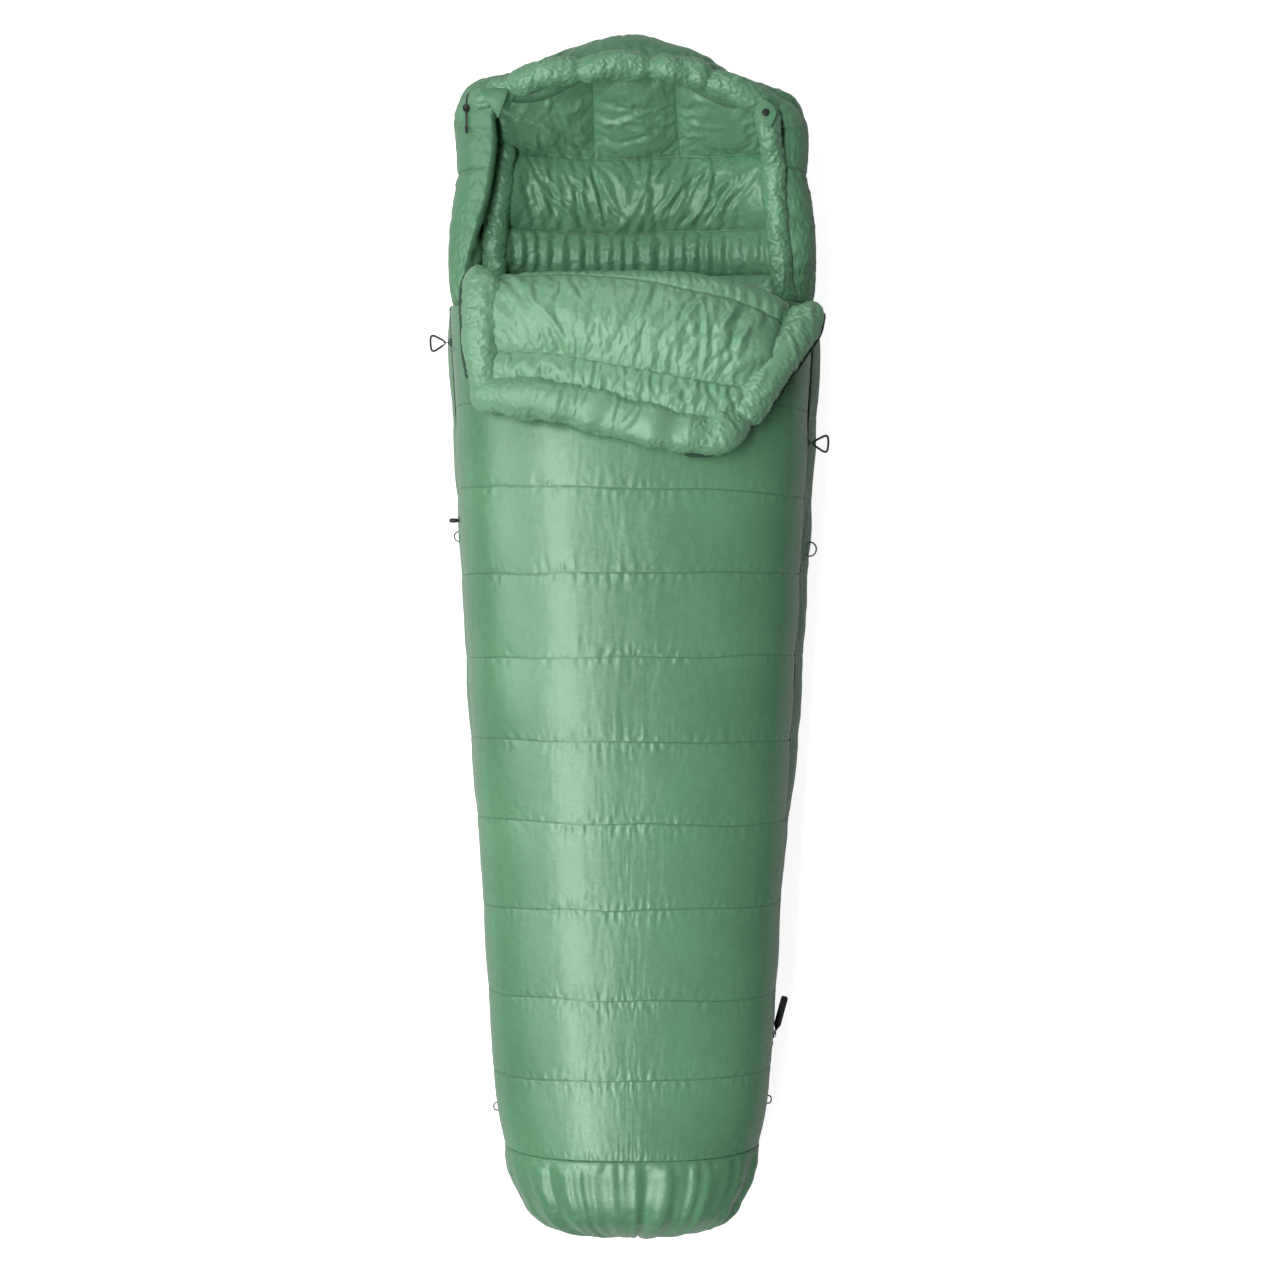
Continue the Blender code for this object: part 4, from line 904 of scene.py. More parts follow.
# zone, then seed, count, box, angle, spread, length, width, height
BACK_CREASES = (
    (2, 841, 26, (-0.20, -0.02, 0.02, 0.08), 125, 16, (0.04, 0.08), (0.004, 0.007), 0.005),
    (2, 842, 26, (0.00, 0.22, 0.02, 0.09), 58, 16, (0.04, 0.09), (0.004, 0.007), 0.005),
    (3, 843, 44, (-0.22, 0.22, 0.02, 0.15), 60, 45, (0.02, 0.05), (0.003, 0.006), 0.003),
    (3, 844, 20, (-0.21, -0.08, 0.01, 0.10), 128, 14, (0.04, 0.08), (0.003, 0.006), 0.0055),
    (3, 845, 22, (0.06, 0.12, 0.01, 0.14), 20, 22, (0.02, 0.04), (0.0025, 0.005), 0.0050),
    (3, 846, 12, (-0.09, -0.04, 0.01, 0.14), -20, 25, (0.015, 0.035), (0.0025, 0.005),
     0.0045),
    (3, 847, 16, (-0.05, 0.07, 0.07, 0.14), 8, 16, (0.03, 0.06), (0.003, 0.006), 0.0045))


def back_form():
    """The smooth sheet, zone by zone."""
    across = np.linspace(-1, 1, BACK_COLS)
    dish = 0.060 * np.abs(across) ** 3.2
    zones = []
    for k, rows in enumerate(BACK_ROWS[:3]):
        part = np.arange(rows)[:, None] / rows
        y = BACK_Y[k] + (BACK_Y[k + 1] - BACK_Y[k]) * part
        x = across * table(y, BACK_HALF_WIDTH)
        z = BACK_Z[k] + (BACK_Z[k + 1] - BACK_Z[k]) * part + dish
        wander = 0.003 * waves(x, 800, 0.25) if k > 0 else 0.0
        zones.append(np.stack(np.broadcast_arrays(x, y + wander, z), -1))
    part = np.arange(BACK_ROWS[3] + 1)[:, None] / BACK_ROWS[3]
    low_x, high_x = across * BACK_HALF, across * 0.228 - 0.006
    low_y = BACK_Y[3] + 0.003 * waves(low_x, 800, 0.25)
    low_z = BACK_Z[3] + dish
    high_y = table(high_x, RIM_KEYS, 1) + 0.004
    high_z = table(high_x, RIM_KEYS, 2) - 0.020
    x = low_x + (high_x - low_x) * part
    y = low_y + (high_y - low_y) * part
    z = low_z + (high_z - low_z) * (0.35 * part + 0.65 * part**1.5)
    zones.append(np.stack([x, y, z], -1))
    return np.concatenate(zones)


def drape_back():
    base = back_form()
    normal = normals_up(base)
    x = base[..., 0]
    run = run_length(base[:, BACK_COLS // 2])[:, None] * np.ones_like(x)
    j = np.arange(len(base))
    zone = np.minimum(np.searchsorted(BACK_STARTS, j, side="right") - 1, 3)
    part = (j - BACK_STARTS[zone]) / np.array(BACK_ROWS)[zone]
    off = np.zeros_like(x)
    pin = pinned(x.shape, BACK_STARTS)
    for k, (puff, height, pitch, reach) in enumerate(BACK_FOLDS):
        rows = zone == k
        first, last = run[rows].min(), run[rows].max() + 0.004
        off[rows] += puff * arch(part[rows])[:, None]
        if k == 1:
            phase = 2 * math.pi * x[rows] / pitch + 1.6 * waves(x[rows], 810, 0.15)
            strength = 0.5 + 0.5 * smooth(waves(x[rows], 811, 0.1) * 0.6 + 0.6)
            off[rows] += height * np.sin(phase) * strength * arch(part[rows], 4.0)[:, None]
        else:
            off[rows] += puckers(x[rows], run[rows] - first, 820 + k, pitch, height, reach,
                                 lean=1.2)
            off[rows] += puckers(x[rows], last - run[rows], 830 + k, pitch, height * 0.7,
                                 reach * 0.8, lean=1.0)
    for k, *crease in BACK_CREASES:
        rows = zone == k
        off[rows] += creases(x[rows], run[rows] - run[rows].min(), *crease)
    rows = zone == 3
    column = np.arange(BACK_COLS)
    for upright in BACK_UPRIGHTS:
        away = np.abs(column - upright) * (2 * BACK_HALF / (BACK_COLS - 1))
        off[rows] *= (0.15 + 0.85 * smooth(away / 0.030))[None, :]
        off[rows] += puckers(run[rows], np.broadcast_to(away, x[rows].shape), 850 + upright,
                             pitch=0.018, height=0.0028, reach=0.022, lean=0.5)
        pin[rows, upright] = True
    off *= smooth(np.minimum(column, BACK_COLS - 1 - column) / 6.0)[None, :]
    off[pin] = 0
    drape("back", base + normal * off[..., None], pin, base - normal * 0.05, shrink=-0.045,
          cap=0.012)
    return pin


BACK_PIN = drape_back()

# ================================================================ chest flap
# x, y of four lines across the flap: the tip of the fold, two seams and the hem
FOLD_TIP = ((-0.275, 0.586), (-0.20, 0.593), (-0.05, 0.5955), (0.03, 0.595), (0.10, 0.590),
            (0.17, 0.579), (0.236, 0.5575), (0.275, 0.545))
FLAP_SEAM_1 = ((-0.275, 0.574), (-0.20, 0.585), (-0.05, 0.584), (0.03, 0.574),
               (0.094, 0.559), (0.166, 0.542), (0.22, 0.519), (0.275, 0.500))
FLAP_SEAM_2 = ((-0.26, 0.462), (-0.213, 0.461), (-0.14, 0.460), (-0.0355, 0.440),
               (0.045, 0.426), (0.11, 0.413), (0.15, 0.406), (0.24, 0.400))
HEM = ((-0.26, 0.404), (-0.19, 0.392), (-0.14, 0.385), (-0.06, 0.366), (0.00, 0.350),
       (0.045, 0.341), (0.10, 0.330), (0.14, 0.327), (0.24, 0.350))
# y, x of the side edges
EDGE_LEFT = ((0.33, -0.222), (0.40, -0.226), (0.46, -0.229), (0.55, -0.233), (0.60, -0.234))
EDGE_RIGHT = ((0.33, 0.176), (0.40, 0.198), (0.46, 0.222), (0.52, 0.244), (0.55, 0.253),
              (0.60, 0.258))
FLAP_TOP_Y = 0.58              # beyond this the side edges run straight
FLAP_UP = 0.037                # height of the flap over the quilt
FOLD_DEPTH = 0.044             # length of the fold's bend along y
FOLD_MID, FOLD_DROP = 0.00275, 0.0343
FLAP_COLS = 145
FLAP_ROWS = (22, 30, 14)       # fold, panel, hem strip
FLAP_STARTS = np.array([0, 22, 52])
FLAP_UNDER = 36                # profile points that belong to the underside of the fold
# puff, pitch, then pucker height and reach at the zone's start and at its end
FLAP_FOLDS = ((0.0035, 0.017, 0.00088, 0.030, 0.0022, 0.030),
              (0.0110, 0.021, 0.0021, 0.0225, 0.0030, 0.045),
              (0.0080, 0.020, 0.0032, 0.035, 0.0032, 0.035))
# zone, then seed, count, box, angle, spread, length, width, height
FLAP_CREASES = (
    (1, 921, 22, (-0.02, 0.24, 0.03, 0.10), 128, 18, (0.03, 0.07), (0.004, 0.008), 0.0042),
    (1, 922, 11, (-0.24, -0.10, 0.0, 0.10), 62, 20, (0.03, 0.07), (0.005, 0.009), 0.0040),
    (2, 923, 36, (-0.22, 0.18, 0.0, 0.06), 80, 28, (0.015, 0.04), (0.003, 0.006), 0.0035))


def flap_x(y, across):
    left = table(y, EDGE_LEFT)
    return left + (table(y, EDGE_RIGHT) - left) * across


def flap_column(across):
    """One column from under the fold to the hem: x, y, height over the quilt and run."""
    bend_y = float(table(flap_x(FLAP_TOP_Y, across), FOLD_TIP)) - FOLD_DEPTH
    profile = [(bend_y - 0.012 * (1 - part), -0.0315) for part in np.linspace(0, 1, 6)[:-1]]
    for angle in np.radians(np.linspace(-90, 90, 60)):
        cos, sin = math.cos(angle), math.sin(angle)
        rise = FLAP_UP - FOLD_MID if sin > 0 else FOLD_DROP
        profile.append((bend_y + FOLD_DEPTH * abs(cos) ** 0.9,
                        FOLD_MID + rise * math.copysign(abs(sin) ** 0.9, sin)))
    y = bend_y
    while True:
        y -= 0.003
        hem = float(table(flap_x(y, across), HEM))
        if y <= hem:
            break
        profile.append((y, FLAP_UP - 0.012 * float(smooth(1 - (y - hem) / 0.06))))
    y, height = np.array(profile).T
    under = np.arange(len(y)) < FLAP_UNDER
    x = flap_x(np.where(under, FLAP_TOP_Y, np.clip(y, 0.3, FLAP_TOP_Y)), across)
    steps = np.hypot(np.hypot(np.diff(y), np.diff(height)), 0.3 * np.diff(x))
    run = np.concatenate([[0], np.cumsum(steps)])
    over = slice(FLAP_UNDER, None)
    seams = [run[over][np.argmin(np.abs(y[over] - table(x[over], seam)))]
             for seam in (FLAP_SEAM_1, FLAP_SEAM_2)]
    marks = [0.0, *seams, run[-1]]
    at = np.concatenate([np.linspace(marks[k], marks[k + 1], rows + 1)[:-1]
                         for k, rows in enumerate(FLAP_ROWS)] + [[run[-1]]])
    return [np.interp(at, run, values) for values in (x, y, height)] + [at]


def flap_form():
    columns = [flap_column(across) for across in np.linspace(0, 1, FLAP_COLS)]
    x, y, height, run = (np.array(values).T for values in zip(*columns))
    calm = relax(np.stack([x, y, height], -1), 2)
    return calm[..., 0], calm[..., 1], height, run


FLAP_X, FLAP_Y, FLAP_HEIGHT, FLAP_RUN = flap_form()


def drape_flap():
    x, run = FLAP_X, FLAP_RUN
    j, i = np.arange(x.shape[0]), np.arange(FLAP_COLS)
    zone = np.minimum(np.searchsorted(FLAP_STARTS, j, side="right") - 1, 2)
    part = (j - FLAP_STARTS[zone]) / np.array(FLAP_ROWS)[zone]
    edge = np.minimum(i, FLAP_COLS - 1 - i) / (FLAP_COLS - 1)
    drop = 1 - smooth(edge / 0.045)
    height = FLAP_HEIGHT - (FLAP_HEIGHT - 0.012) * drop[None, :] * 0.55
    bounds = [*FLAP_STARTS, -1]
    off = np.zeros_like(x)
    for k, (puff, pitch, height_1, reach_1, height_2, reach_2) in enumerate(FLAP_FOLDS):
        rows = zone == k
        after = run[rows] - run[bounds[k]][None, :]
        before = (run[bounds[k + 1]] - run[bounds[k]])[None, :] - after
        off[rows] += puff * arch(part[rows], 2.0)[:, None]
        off[rows] += puckers(x[rows], after, 900 + k, pitch, height_1, reach_1, lean=1.3)
        off[rows] += puckers(x[rows], before, 910 + k, pitch, height_2, reach_2, lean=1.3)
    for k, *crease in FLAP_CREASES:
        rows = zone == k
        off[rows] += creases(x[rows], run[rows] - run[bounds[k]][None, :], *crease)
    off *= smooth(edge / 0.03)[None, :]
    pin = pinned(x.shape, bounds)
    off[pin] = 0
    base = on_quilt(x, FLAP_Y, height)
    normal = grid_normals(base)
    inside = on_quilt(x, np.minimum(FLAP_Y, 0.556), 0.0015)
    if np.sum((base - inside) * normal) < 0:
        normal = -normal
    drape("flap", base + normal * off[..., None], pin, inside, shrink=-0.030, cap=0.009)
    return pin


FLAP_PIN = drape_flap()

# ================================================================ soft tubes
TUBE_RADIUS = 0.022            # turns angles round a tube into lengths


def soft_tube(key, keys, radius, along, around, seed, height, squash, lay, sewn=None,
              seams=(), dense=110, dents=0.0016, pleat=1.0):
    """Queues a stuffed tube. sewn is the point of each ring held by stitches, seams are
    fractions where it is drawn in, lay the creases' angle and dense their count per metre."""
    grid, centre, part = tube_grid(keys, radius, along, around, squash)
    angles = circle(around)
    length = run_length(centre)[-1]
    normal = grid_normals(grid, True)
    if np.sum((grid - centre[:, None]) * normal) < 0:
        normal = -normal
    angle, down = np.meshgrid(angles, part * length)
    around_run = angle * TUBE_RADIUS
    box = (0, length, 0, 0.14)
    off = creases(down, around_run, seed, int(length * dense), box, angle=lay, spread=24,
                  length=(0.018, 0.045), width=(0.0028, 0.006), height=height)
    off += creases(down, around_run, seed + 9, int(length * dense * 0.6), box,
                   angle=-lay * 0.7, spread=30, length=(0.015, 0.035),
                   width=(0.0025, 0.005), height=height * 0.8)
    off += dents * hills(down, around_run, seed + 1, 0.07)
    pin = pinned(angle.shape, [0, -1], ring=True)
    if sewn is not None:
        pin[:, sewn] = True
        turn = (angle - angles[sewn] + math.pi) % (2 * math.pi) - math.pi
        off += puckers(down, np.abs(turn) * TUBE_RADIUS, seed + 5, pitch=0.018,
                       height=height * 1.1 * pleat, reach=0.02)
    for seam in seams:
        off -= 0.006 * np.exp(-((part - seam) * length / 0.010) ** 2)[:, None]
        away = np.abs(part - seam)[:, None] * length + 0 * angle
        off += puckers(around_run, away, seed + int(seam * 100), pitch=0.014, height=height,
                       reach=0.02)
        pin[np.argmin(np.abs(part - seam))] = True
    fade = smooth(np.minimum(down, length - down) / 0.02)
    drape(key, grid + normal * (off * fade)[..., None], pin,
          np.broadcast_to(centre[:, None], grid.shape), ring=True, shrink=-0.015, cap=0.006)


# centre lines of the flap's tubes: x, y, height over the quilt
FLAP_LEFT_LINE = (
    (-0.232, 0.590, 0.015), (-0.2315, 0.585, 0.026), (-0.231, 0.565, 0.0345),
    (-0.231, 0.53, 0.0365), (-0.231, 0.48, 0.0360), (-0.230, 0.44, 0.0330),
    (-0.228, 0.410, 0.028), (-0.226, 0.392, 0.021))
FLAP_RIGHT_LINE = (
    (0.276, 0.545, 0.012), (0.274, 0.538, 0.020), (0.264, 0.515, 0.0255),
    (0.238, 0.469, 0.027), (0.209, 0.417, 0.0265), (0.188, 0.380, 0.0255),
    (0.170, 0.350, 0.022))
FLAP_HEM_LINE = (
    (-0.246, 0.402, 0.018), (-0.225, 0.398, 0.0245), (-0.19, 0.3915, 0.0265),
    (-0.14, 0.3840, 0.027), (-0.06, 0.3655, 0.0275), (0.0, 0.3490, 0.0275),
    (0.045, 0.3395, 0.0275), (0.095, 0.3300, 0.027), (0.132, 0.3300, 0.0265),
    (0.157, 0.3440, 0.0255), (0.176, 0.3720, 0.023), (0.190, 0.400, 0.020))
# centre lines of the draft tubes: x, y, z
DRAFT_RIGHT = ((0.266, 0.570, 0.140), (0.262, 0.585, 0.150), (0.252, 0.66, 0.170),
               (0.241, 0.76, 0.193), (0.2345, 0.82, 0.214), (0.2275, 0.862, 0.232),
               (0.224, 0.890, 0.236))
DRAFT_LEFT = ((-0.250, 0.575, 0.095), (-0.244, 0.62, 0.100), (-0.238, 0.70, 0.106),
              (-0.228, 0.78, 0.112), (-0.222, 0.86, 0.120))


def left_radius(part):
    return 0.0240 * (1 - 0.24 * smooth((part - 0.45) / 0.5))


def hem_radius(part):
    swell = 0.92 + 0.14 * np.sin(np.pi * np.clip(part * 1.25, 0, 1)) ** 0.8
    return 0.0235 * swell * (1 - 0.42 * smooth((part - 0.84) / 0.16))


def rim_radius(part):
    return 0.0225 * (0.86 + 0.14 * np.sin(np.pi * np.clip(part, 0, 1)) ** 0.5)


soft_tube("flap_left", on_quilt(*np.array(FLAP_LEFT_LINE).T), left_radius, 68, 44, seed=31,
          height=0.0018, squash=(1.42, 1.0), lay=38, sewn=33, pleat=0.6)
soft_tube("flap_right", on_quilt(*np.array(FLAP_RIGHT_LINE).T), 0.0235, 76, 40, seed=32,
          height=0.0020, squash=(1.42, 0.98), lay=14, sewn=30, dense=150, pleat=0.35)
soft_tube("flap_hem", on_quilt(*np.array(FLAP_HEM_LINE).T), hem_radius, 144, 44, seed=33,
          height=0.0013, squash=(1.52, 1.03), lay=68, sewn=33, dense=120, dents=0.0030)
soft_tube("rim", RIM_KEYS, rim_radius, 168, 40, seed=34, height=0.0012, squash=(1.04, 1.0),
          lay=40, seams=(0.125, 0.190, 0.375, 0.560, 0.715))
soft_tube("draft_right", DRAFT_RIGHT, 0.0195, 96, 34, seed=35, height=0.0019,
          squash=(1.05, 0.95), lay=40, sewn=0)
soft_tube("draft_left", DRAFT_LEFT, 0.0200, 84, 32, seed=36, height=0.0020,
          squash=(1.05, 1.0), lay=35, sewn=0)

run_drapes()


# ================================================================ cloth pieces
# each builder returns the rows of points its stitches follow, and their normals
def build_top():
    seam = TOP["seam"]
    grid = CLOTH["top"]
    # flattened where the flap lies on it
    squeeze = 1 - 0.80 * smooth((TOP["y"] - 0.315) / 0.055)
    flat = top_points(TOP["angle"][None, :], TOP["y"], 0.0)
    grid = flat + (grid - flat) * squeeze[..., None]
    # calm between the seams, detail kept near them
    calm = relax(grid, 16, seam)
    from_seam = np.minimum(TOP["part"], 1 - TOP["part"])
    near = np.exp(-(from_seam / 0.20) ** 2)[:, None, None]
    grid = finer(calm + (relax(grid, 1, seam) - calm) * (0.25 + 0.75 * near))
    normal = normals_up(grid)
    step = 2 * TOP_ROWS
    grid[::step] -= 0.0007 * normal[::step]
    inner = top_points(TOP["angle"][None, ::3], TOP["y"][::3, ::3], -0.030)
    inside = top_points(1.57, -0.2, -0.12)
    piece = pad("top_quilt", grid, inner, 6, [SHELL, LINER], inside)
    rows = slice(step, -step, step)
    paint_seam_shade(piece, grid, rows)
    place(piece, "root", "shell_fabric", "top_quilt_shell", "top_quilt_fill",
          "top_quilt_liner")
    return grid[rows], normal[rows]


def build_under():
    grid = clamp_floor(finer(relax(CLOTH["under"], 1, UNDER["seam"])))
    inner = under_points(UNDER["angle"][None, ::3], UNDER["y"][::3, ::3], -0.026)
    piece = pad("under_quilt", grid, inner, 6, [SHELL, LINER], np.array([0, -0.2, 0.12]))
    place(piece, "root", "shell_fabric", "under_quilt_shell", "under_quilt_fill",
          "under_quilt_liner")


def build_foot():
    grid = clamp_floor(finer(relax(CLOTH["foot"], 1, ring=True), ring=True))
    normal = grid_normals(grid, True)
    normal *= np.sign(np.sum(normal[10, :, 2] * (grid[10, :, 2] - ZIP_Z)))
    piece = closed_tube("foot_cup", grid, SHELL)
    place(piece, "root", "shell_fabric", "foot_shell", "foot_fill", "foot_liner")
    # the second ring, closed on itself
    return [[np.concatenate([ring[1], ring[1][:1]])] for ring in (grid, normal)]


def build_wall():
    grid = clamp_floor(finer(CLOTH["wall"]))
    inner = clamp_floor(finer(CLOTH["wall_in"]))
    normal = grid_normals(grid)
    normal *= np.sign(np.sum(normal * (grid - inner)))
    seams = [2 * row for row in WALL_SEAMS_OUT[1:-1]]
    grid[seams, 4:-4] -= 0.0012 * normal[seams, 4:-4]
    piece = pad("hood_wall", grid, inner, 1, [SHELL_HOOD, LINER], inner)
    paint_seam_shade(piece, grid, seams, strength=0.9)
    place(piece, "root", "shell_fabric", "hood_wall_shell", "hood_wall_fill",
          "hood_wall_liner")
    return grid[seams, 6:-6], normal[seams, 6:-6]


def build_back():
    grid = finer(relax(CLOTH["back"], 1, BACK_PIN))
    normal = normals_up(grid)
    seams = 2 * BACK_STARTS[1:4]
    for rows, depth in ((seams, 0.0024), (seams - 1, 0.0006), (seams + 1, 0.0006)):
        grid[rows] -= depth * normal[rows]
    low = grid[::2, ::2].copy()
    low[..., 2] = 0.0008
    piece = pad("hood_back", grid, low, 2, [LINER, SHELL_HOOD], grid - np.array([0, 0, 0.3]))
    paint_seam_shade(piece, grid, seams,
               extra=[np.s_[seams[-1]:, 2 * upright] for upright in BACK_UPRIGHTS])
    place(piece, "root", "liner_fabric", "hood_back_shell", "hood_back_fill",
          "hood_back_liner", "draft_collar")
    return grid[seams, 6:-6], normal[seams, 6:-6]


def flap_inner():
    """The flap's lower face, close over the quilt, one point per simulated point."""
    columns = []
    for x, y, height in zip(FLAP_X.T, FLAP_Y.T, FLAP_HEIGHT.T):
        bend_y = float(table(x[0], FOLD_TIP)) - FOLD_DEPTH
        rise = np.clip((height - FOLD_MID) / FOLD_DROP, -1, 1)
        in_fold = y > bend_y
        fold_y = bend_y + 0.014 * np.sqrt(np.clip((y - bend_y) / FOLD_DEPTH, 0, 1))
        low = np.where(in_fold, 0.0020 + 0.0022 * rise, 0.0040)
        low = np.where((height < 0) & ~in_fold, 0.0001, low)
        columns.append(on_quilt(x * 0.985, np.where(in_fold, fold_y, y), low))
    return np.stack(columns, 1)


def build_flap():
    grid = finer(relax(CLOTH["flap"], 1, FLAP_PIN))
    normal = grid_normals(grid)
    normal *= np.sign(normal[80, :, 2].mean())
    seams = 2 * FLAP_STARTS[1:]
    grid[seams, 4:-4] -= 0.0020 * normal[seams, 4:-4]
    inner = flap_inner()
    piece = pad("chest_flap", grid, inner, 2, [LINER_FLAP_PAINTED_LIT, SHELL],
                np.broadcast_to((0, 0.50, 0.27), grid.shape))
    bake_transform(piece, "root", "flap", start=(0, 0.60, 0.27), end=(0, 0.55, 0.33))
    paint_seam_shade(piece, grid, seams)
    # the blend from bag to flap happens round the fold
    turns = []
    for rows, cols, ratio in ((*grid.shape[:2], 2), (*inner.shape[:2], 1)):
        turn = smooth((np.arange(rows) / ratio - 3) / (FLAP_ROWS[0] - 4))
        turns.append(np.repeat(turn, cols))
    blend = piece.data.attributes["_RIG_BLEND"]
    blend.data.foreach_set("value", np.concatenate(turns).astype(np.float32))
    return piece, (grid[seams, 8:-8], normal[seams, 8:-8])


def build_tube(key, name, material, body, node):
    piece = closed_tube(name, finer(CLOTH[key], ring=True), material)
    place(piece, body, "liner_fabric", node)


TOP_SEAMS = build_top()
build_under()
FOOT_SEAM = build_foot()
WALL_SEAMS = build_wall()
BACK_SEAMS = build_back()
build_tube("rim", "hood_rim", LINER, "root", "hood_rim_tube")
for side in ("right", "left"):
    build_tube(f"draft_{side}", f"draft_tube_{side}", LINER, "root", f"{side}_draft_tube")
CHEST_FLAP, FLAP_SEAMS = build_flap()
for side in ("left", "right", "hem"):
    build_tube(f"flap_{side}", f"flap_tube_{side}", LINER_FLAP_PAINTED_LIT, "flap", f"flap_{side}_tube")


# ================================================================ stitches
def stitches(name, seams, body, slot="shell_fabric"):
    """Rows of thread: each stitch is a small arched bar whose ends dip into the cloth."""
    pitch, length, radius, lift, margin = 0.0042, 0.0030, 0.00042, 0.0002, 0.006
    rise = np.array([-0.6, 0.9, 0.9, -0.6])
    girth = np.array([0.7, 1.0, 1.0, 0.7])
    angle = circle(5)[:, None]
    rows = []
    for points, normals in zip(*seams):
        run = run_length(points)
        start = margin + np.arange(int((run[-1] - 2 * margin) / pitch)) * pitch
        at = start[:, None] + np.linspace(0, length, 4)
        centre = sample(at, run, points)
        up = unit(sample(at[:, 1], run, normals))[:, None]
        side = np.cross(up, unit(centre[:, -1] - centre[:, 0])[:, None])
        centre = centre + up * (lift + radius * rise)[:, None]
        ring = np.cos(angle) * side + np.sin(angle) * up
        rows.append(centre[:, :, None] + radius * girth[:, None, None] * ring[:, None])
    place(bars(name, np.concatenate(rows), THREAD), body, slot)


stitches("seam_stitches_top", TOP_SEAMS, "root")
stitches("seam_stitches_foot", FOOT_SEAM, "root")
stitches("seam_stitches_hood", BACK_SEAMS, "root", "liner_fabric")
stitches("seam_stitches_wall", WALL_SEAMS, "root")
stitches("seam_stitches_flap", FLAP_SEAMS, "flap", "liner_fabric")

# ================================================================ side zips
SIDES = {"left": -1, "right": 1}
ZIP_START = {"left": 0.1938, "right": -0.6962}
ZIP_END = {"under": 0.569, "top": 0.553}
# outline of a tooth: offset across (z) and outward
TOOTH = np.array(((-0.0009, 0.0036), (-0.0005, 0.0033), (0.0036, 0.0033), (0.0038, 0.0036),
                  (0.0038, 0.0041), (0.0034, 0.0044), (0.0006, 0.0045), (-0.0006, 0.0045),
                  (-0.0010, 0.0042)))
TOOTH_CENTRE = (0.0014, 0.0039)
# offset along the zip of each of a tooth's sections, and its size
TOOTH_SECTIONS = np.array(((-0.00052, 0.82), (-0.00030, 1.0), (0.00030, 1.0),
                           (0.00052, 0.82)))


def zip_point(side, y):
    return np.stack(np.broadcast_arrays(side * zip_half(y), y, ZIP_Z), -1)


def zip_axes(side):
    """Unit vectors outward from the zip and along it."""
    along = np.array([side * ZIP_SLOPE, 1.0, 0.0]) / math.hypot(1, ZIP_SLOPE)
    return np.array([along[1] * side, -along[0] * side, 0.0]), along


def zip_teeth(tag, half):
    side = SIDES[tag]
    start = ZIP_START[tag]
    out, along = zip_axes(side)
    up = np.array([0, 0, 1 if half == "top" else -1])
    # the two halves are half a pitch apart, so that they interlock
    k = np.arange(int((ZIP_END[half] - start) / TOOTH_PITCH))
    centre = zip_point(side, start + (k + (0.5 if half == "top" else 0.0)) * TOOTH_PITCH)
    shift, size = TOOTH_SECTIONS[:, :1, None], TOOTH_SECTIONS[:, 1:, None]
    rise, outward = TOOTH[None, :, :1], TOOTH[None, :, 1:]
    mid_rise, mid_out = TOOTH_CENTRE
    tooth = (out * (mid_out + (outward - mid_out) * size) + along * shift
             + up * (mid_rise + (rise - mid_rise) * (0.94 + 0.06 * size)))
    piece = bars(f"{tag}_teeth_{half}", centre[:, None, None] + tooth, COIL, sharp=50)
    place(piece, "root", "zip_coil", f"{tag}_zip_coil_{half}")


for tag in SIDES:
    for half in ZIP_END:
        zip_teeth(tag, half)


# ================================================================ tabs
def leaf(name, rows, thick=0.0014):
    """Small sewn tab; rows are left x, right x, y, middle z and drop at the edges."""
    rows = np.array(rows)
    part = np.linspace(0, 1, 33)
    rows = curve(part, np.linspace(0, 1, len(rows)), rows)
    left, right, y, middle, drop = (rows[:, k:k + 1] for k in range(5))
    across = np.linspace(0, 1, 17)
    x = left + (right - left) * across
    z = middle - drop * np.abs(2 * across - 1) ** 2.0
    from_rim = np.minimum(np.minimum(across, 1 - across) * np.maximum(right - left, 0.004),
                          np.minimum(part, 1 - part)[:, None] * 0.05)
    # thin at the rim, with a stitched groove inside it
    fat = (thick * (0.55 + 0.45 * smooth(from_rim / 0.0012))
           - 0.0005 * np.exp(-((from_rim - 0.0032) / 0.0007) ** 2))
    upper, lower = (np.stack(np.broadcast_arrays(x, y, z + half), -1)
                    for half in (fat / 2, -fat / 2))
    return pad(name, upper, lower, 1, [SHELL_HOOD], lower)


closing_tab = leaf("closing_tab", (
    (-0.254, -0.204, 0.9120, 0.2440, 0.004), (-0.252, -0.205, 0.905, 0.2510, 0.004),
    (-0.244, -0.208, 0.893, 0.2550, 0.002), (-0.234, -0.214, 0.879, 0.2520, 0.001),
    (-0.2265, -0.2195, 0.868, 0.2450, 0.0), (-0.2245, -0.2215, 0.863, 0.2410, 0.0)))
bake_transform(closing_tab, "root", "closing_tab", (-0.229, 0.911, 0.250), (-0.226, 0.874, 0.250))
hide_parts("left_closing_tab")

snap_tab = leaf("snap_tab_cloth", (
    (0.2160, 0.2220, 0.8895, 0.2545, 0.0), (0.2125, 0.2270, 0.8850, 0.2568, 0.001),
    (0.2060, 0.2350, 0.877, 0.2582, 0.001), (0.2050, 0.2400, 0.867, 0.2584, 0.0008),
    (0.2110, 0.2370, 0.856, 0.2572, 0.001), (0.2225, 0.2300, 0.8440, 0.2530, 0.0)))
place(snap_tab, "snap_tab", "shell_fabric", "snap_tab")

# ================================================================ pull loops
MILLIMETRE = 0.001
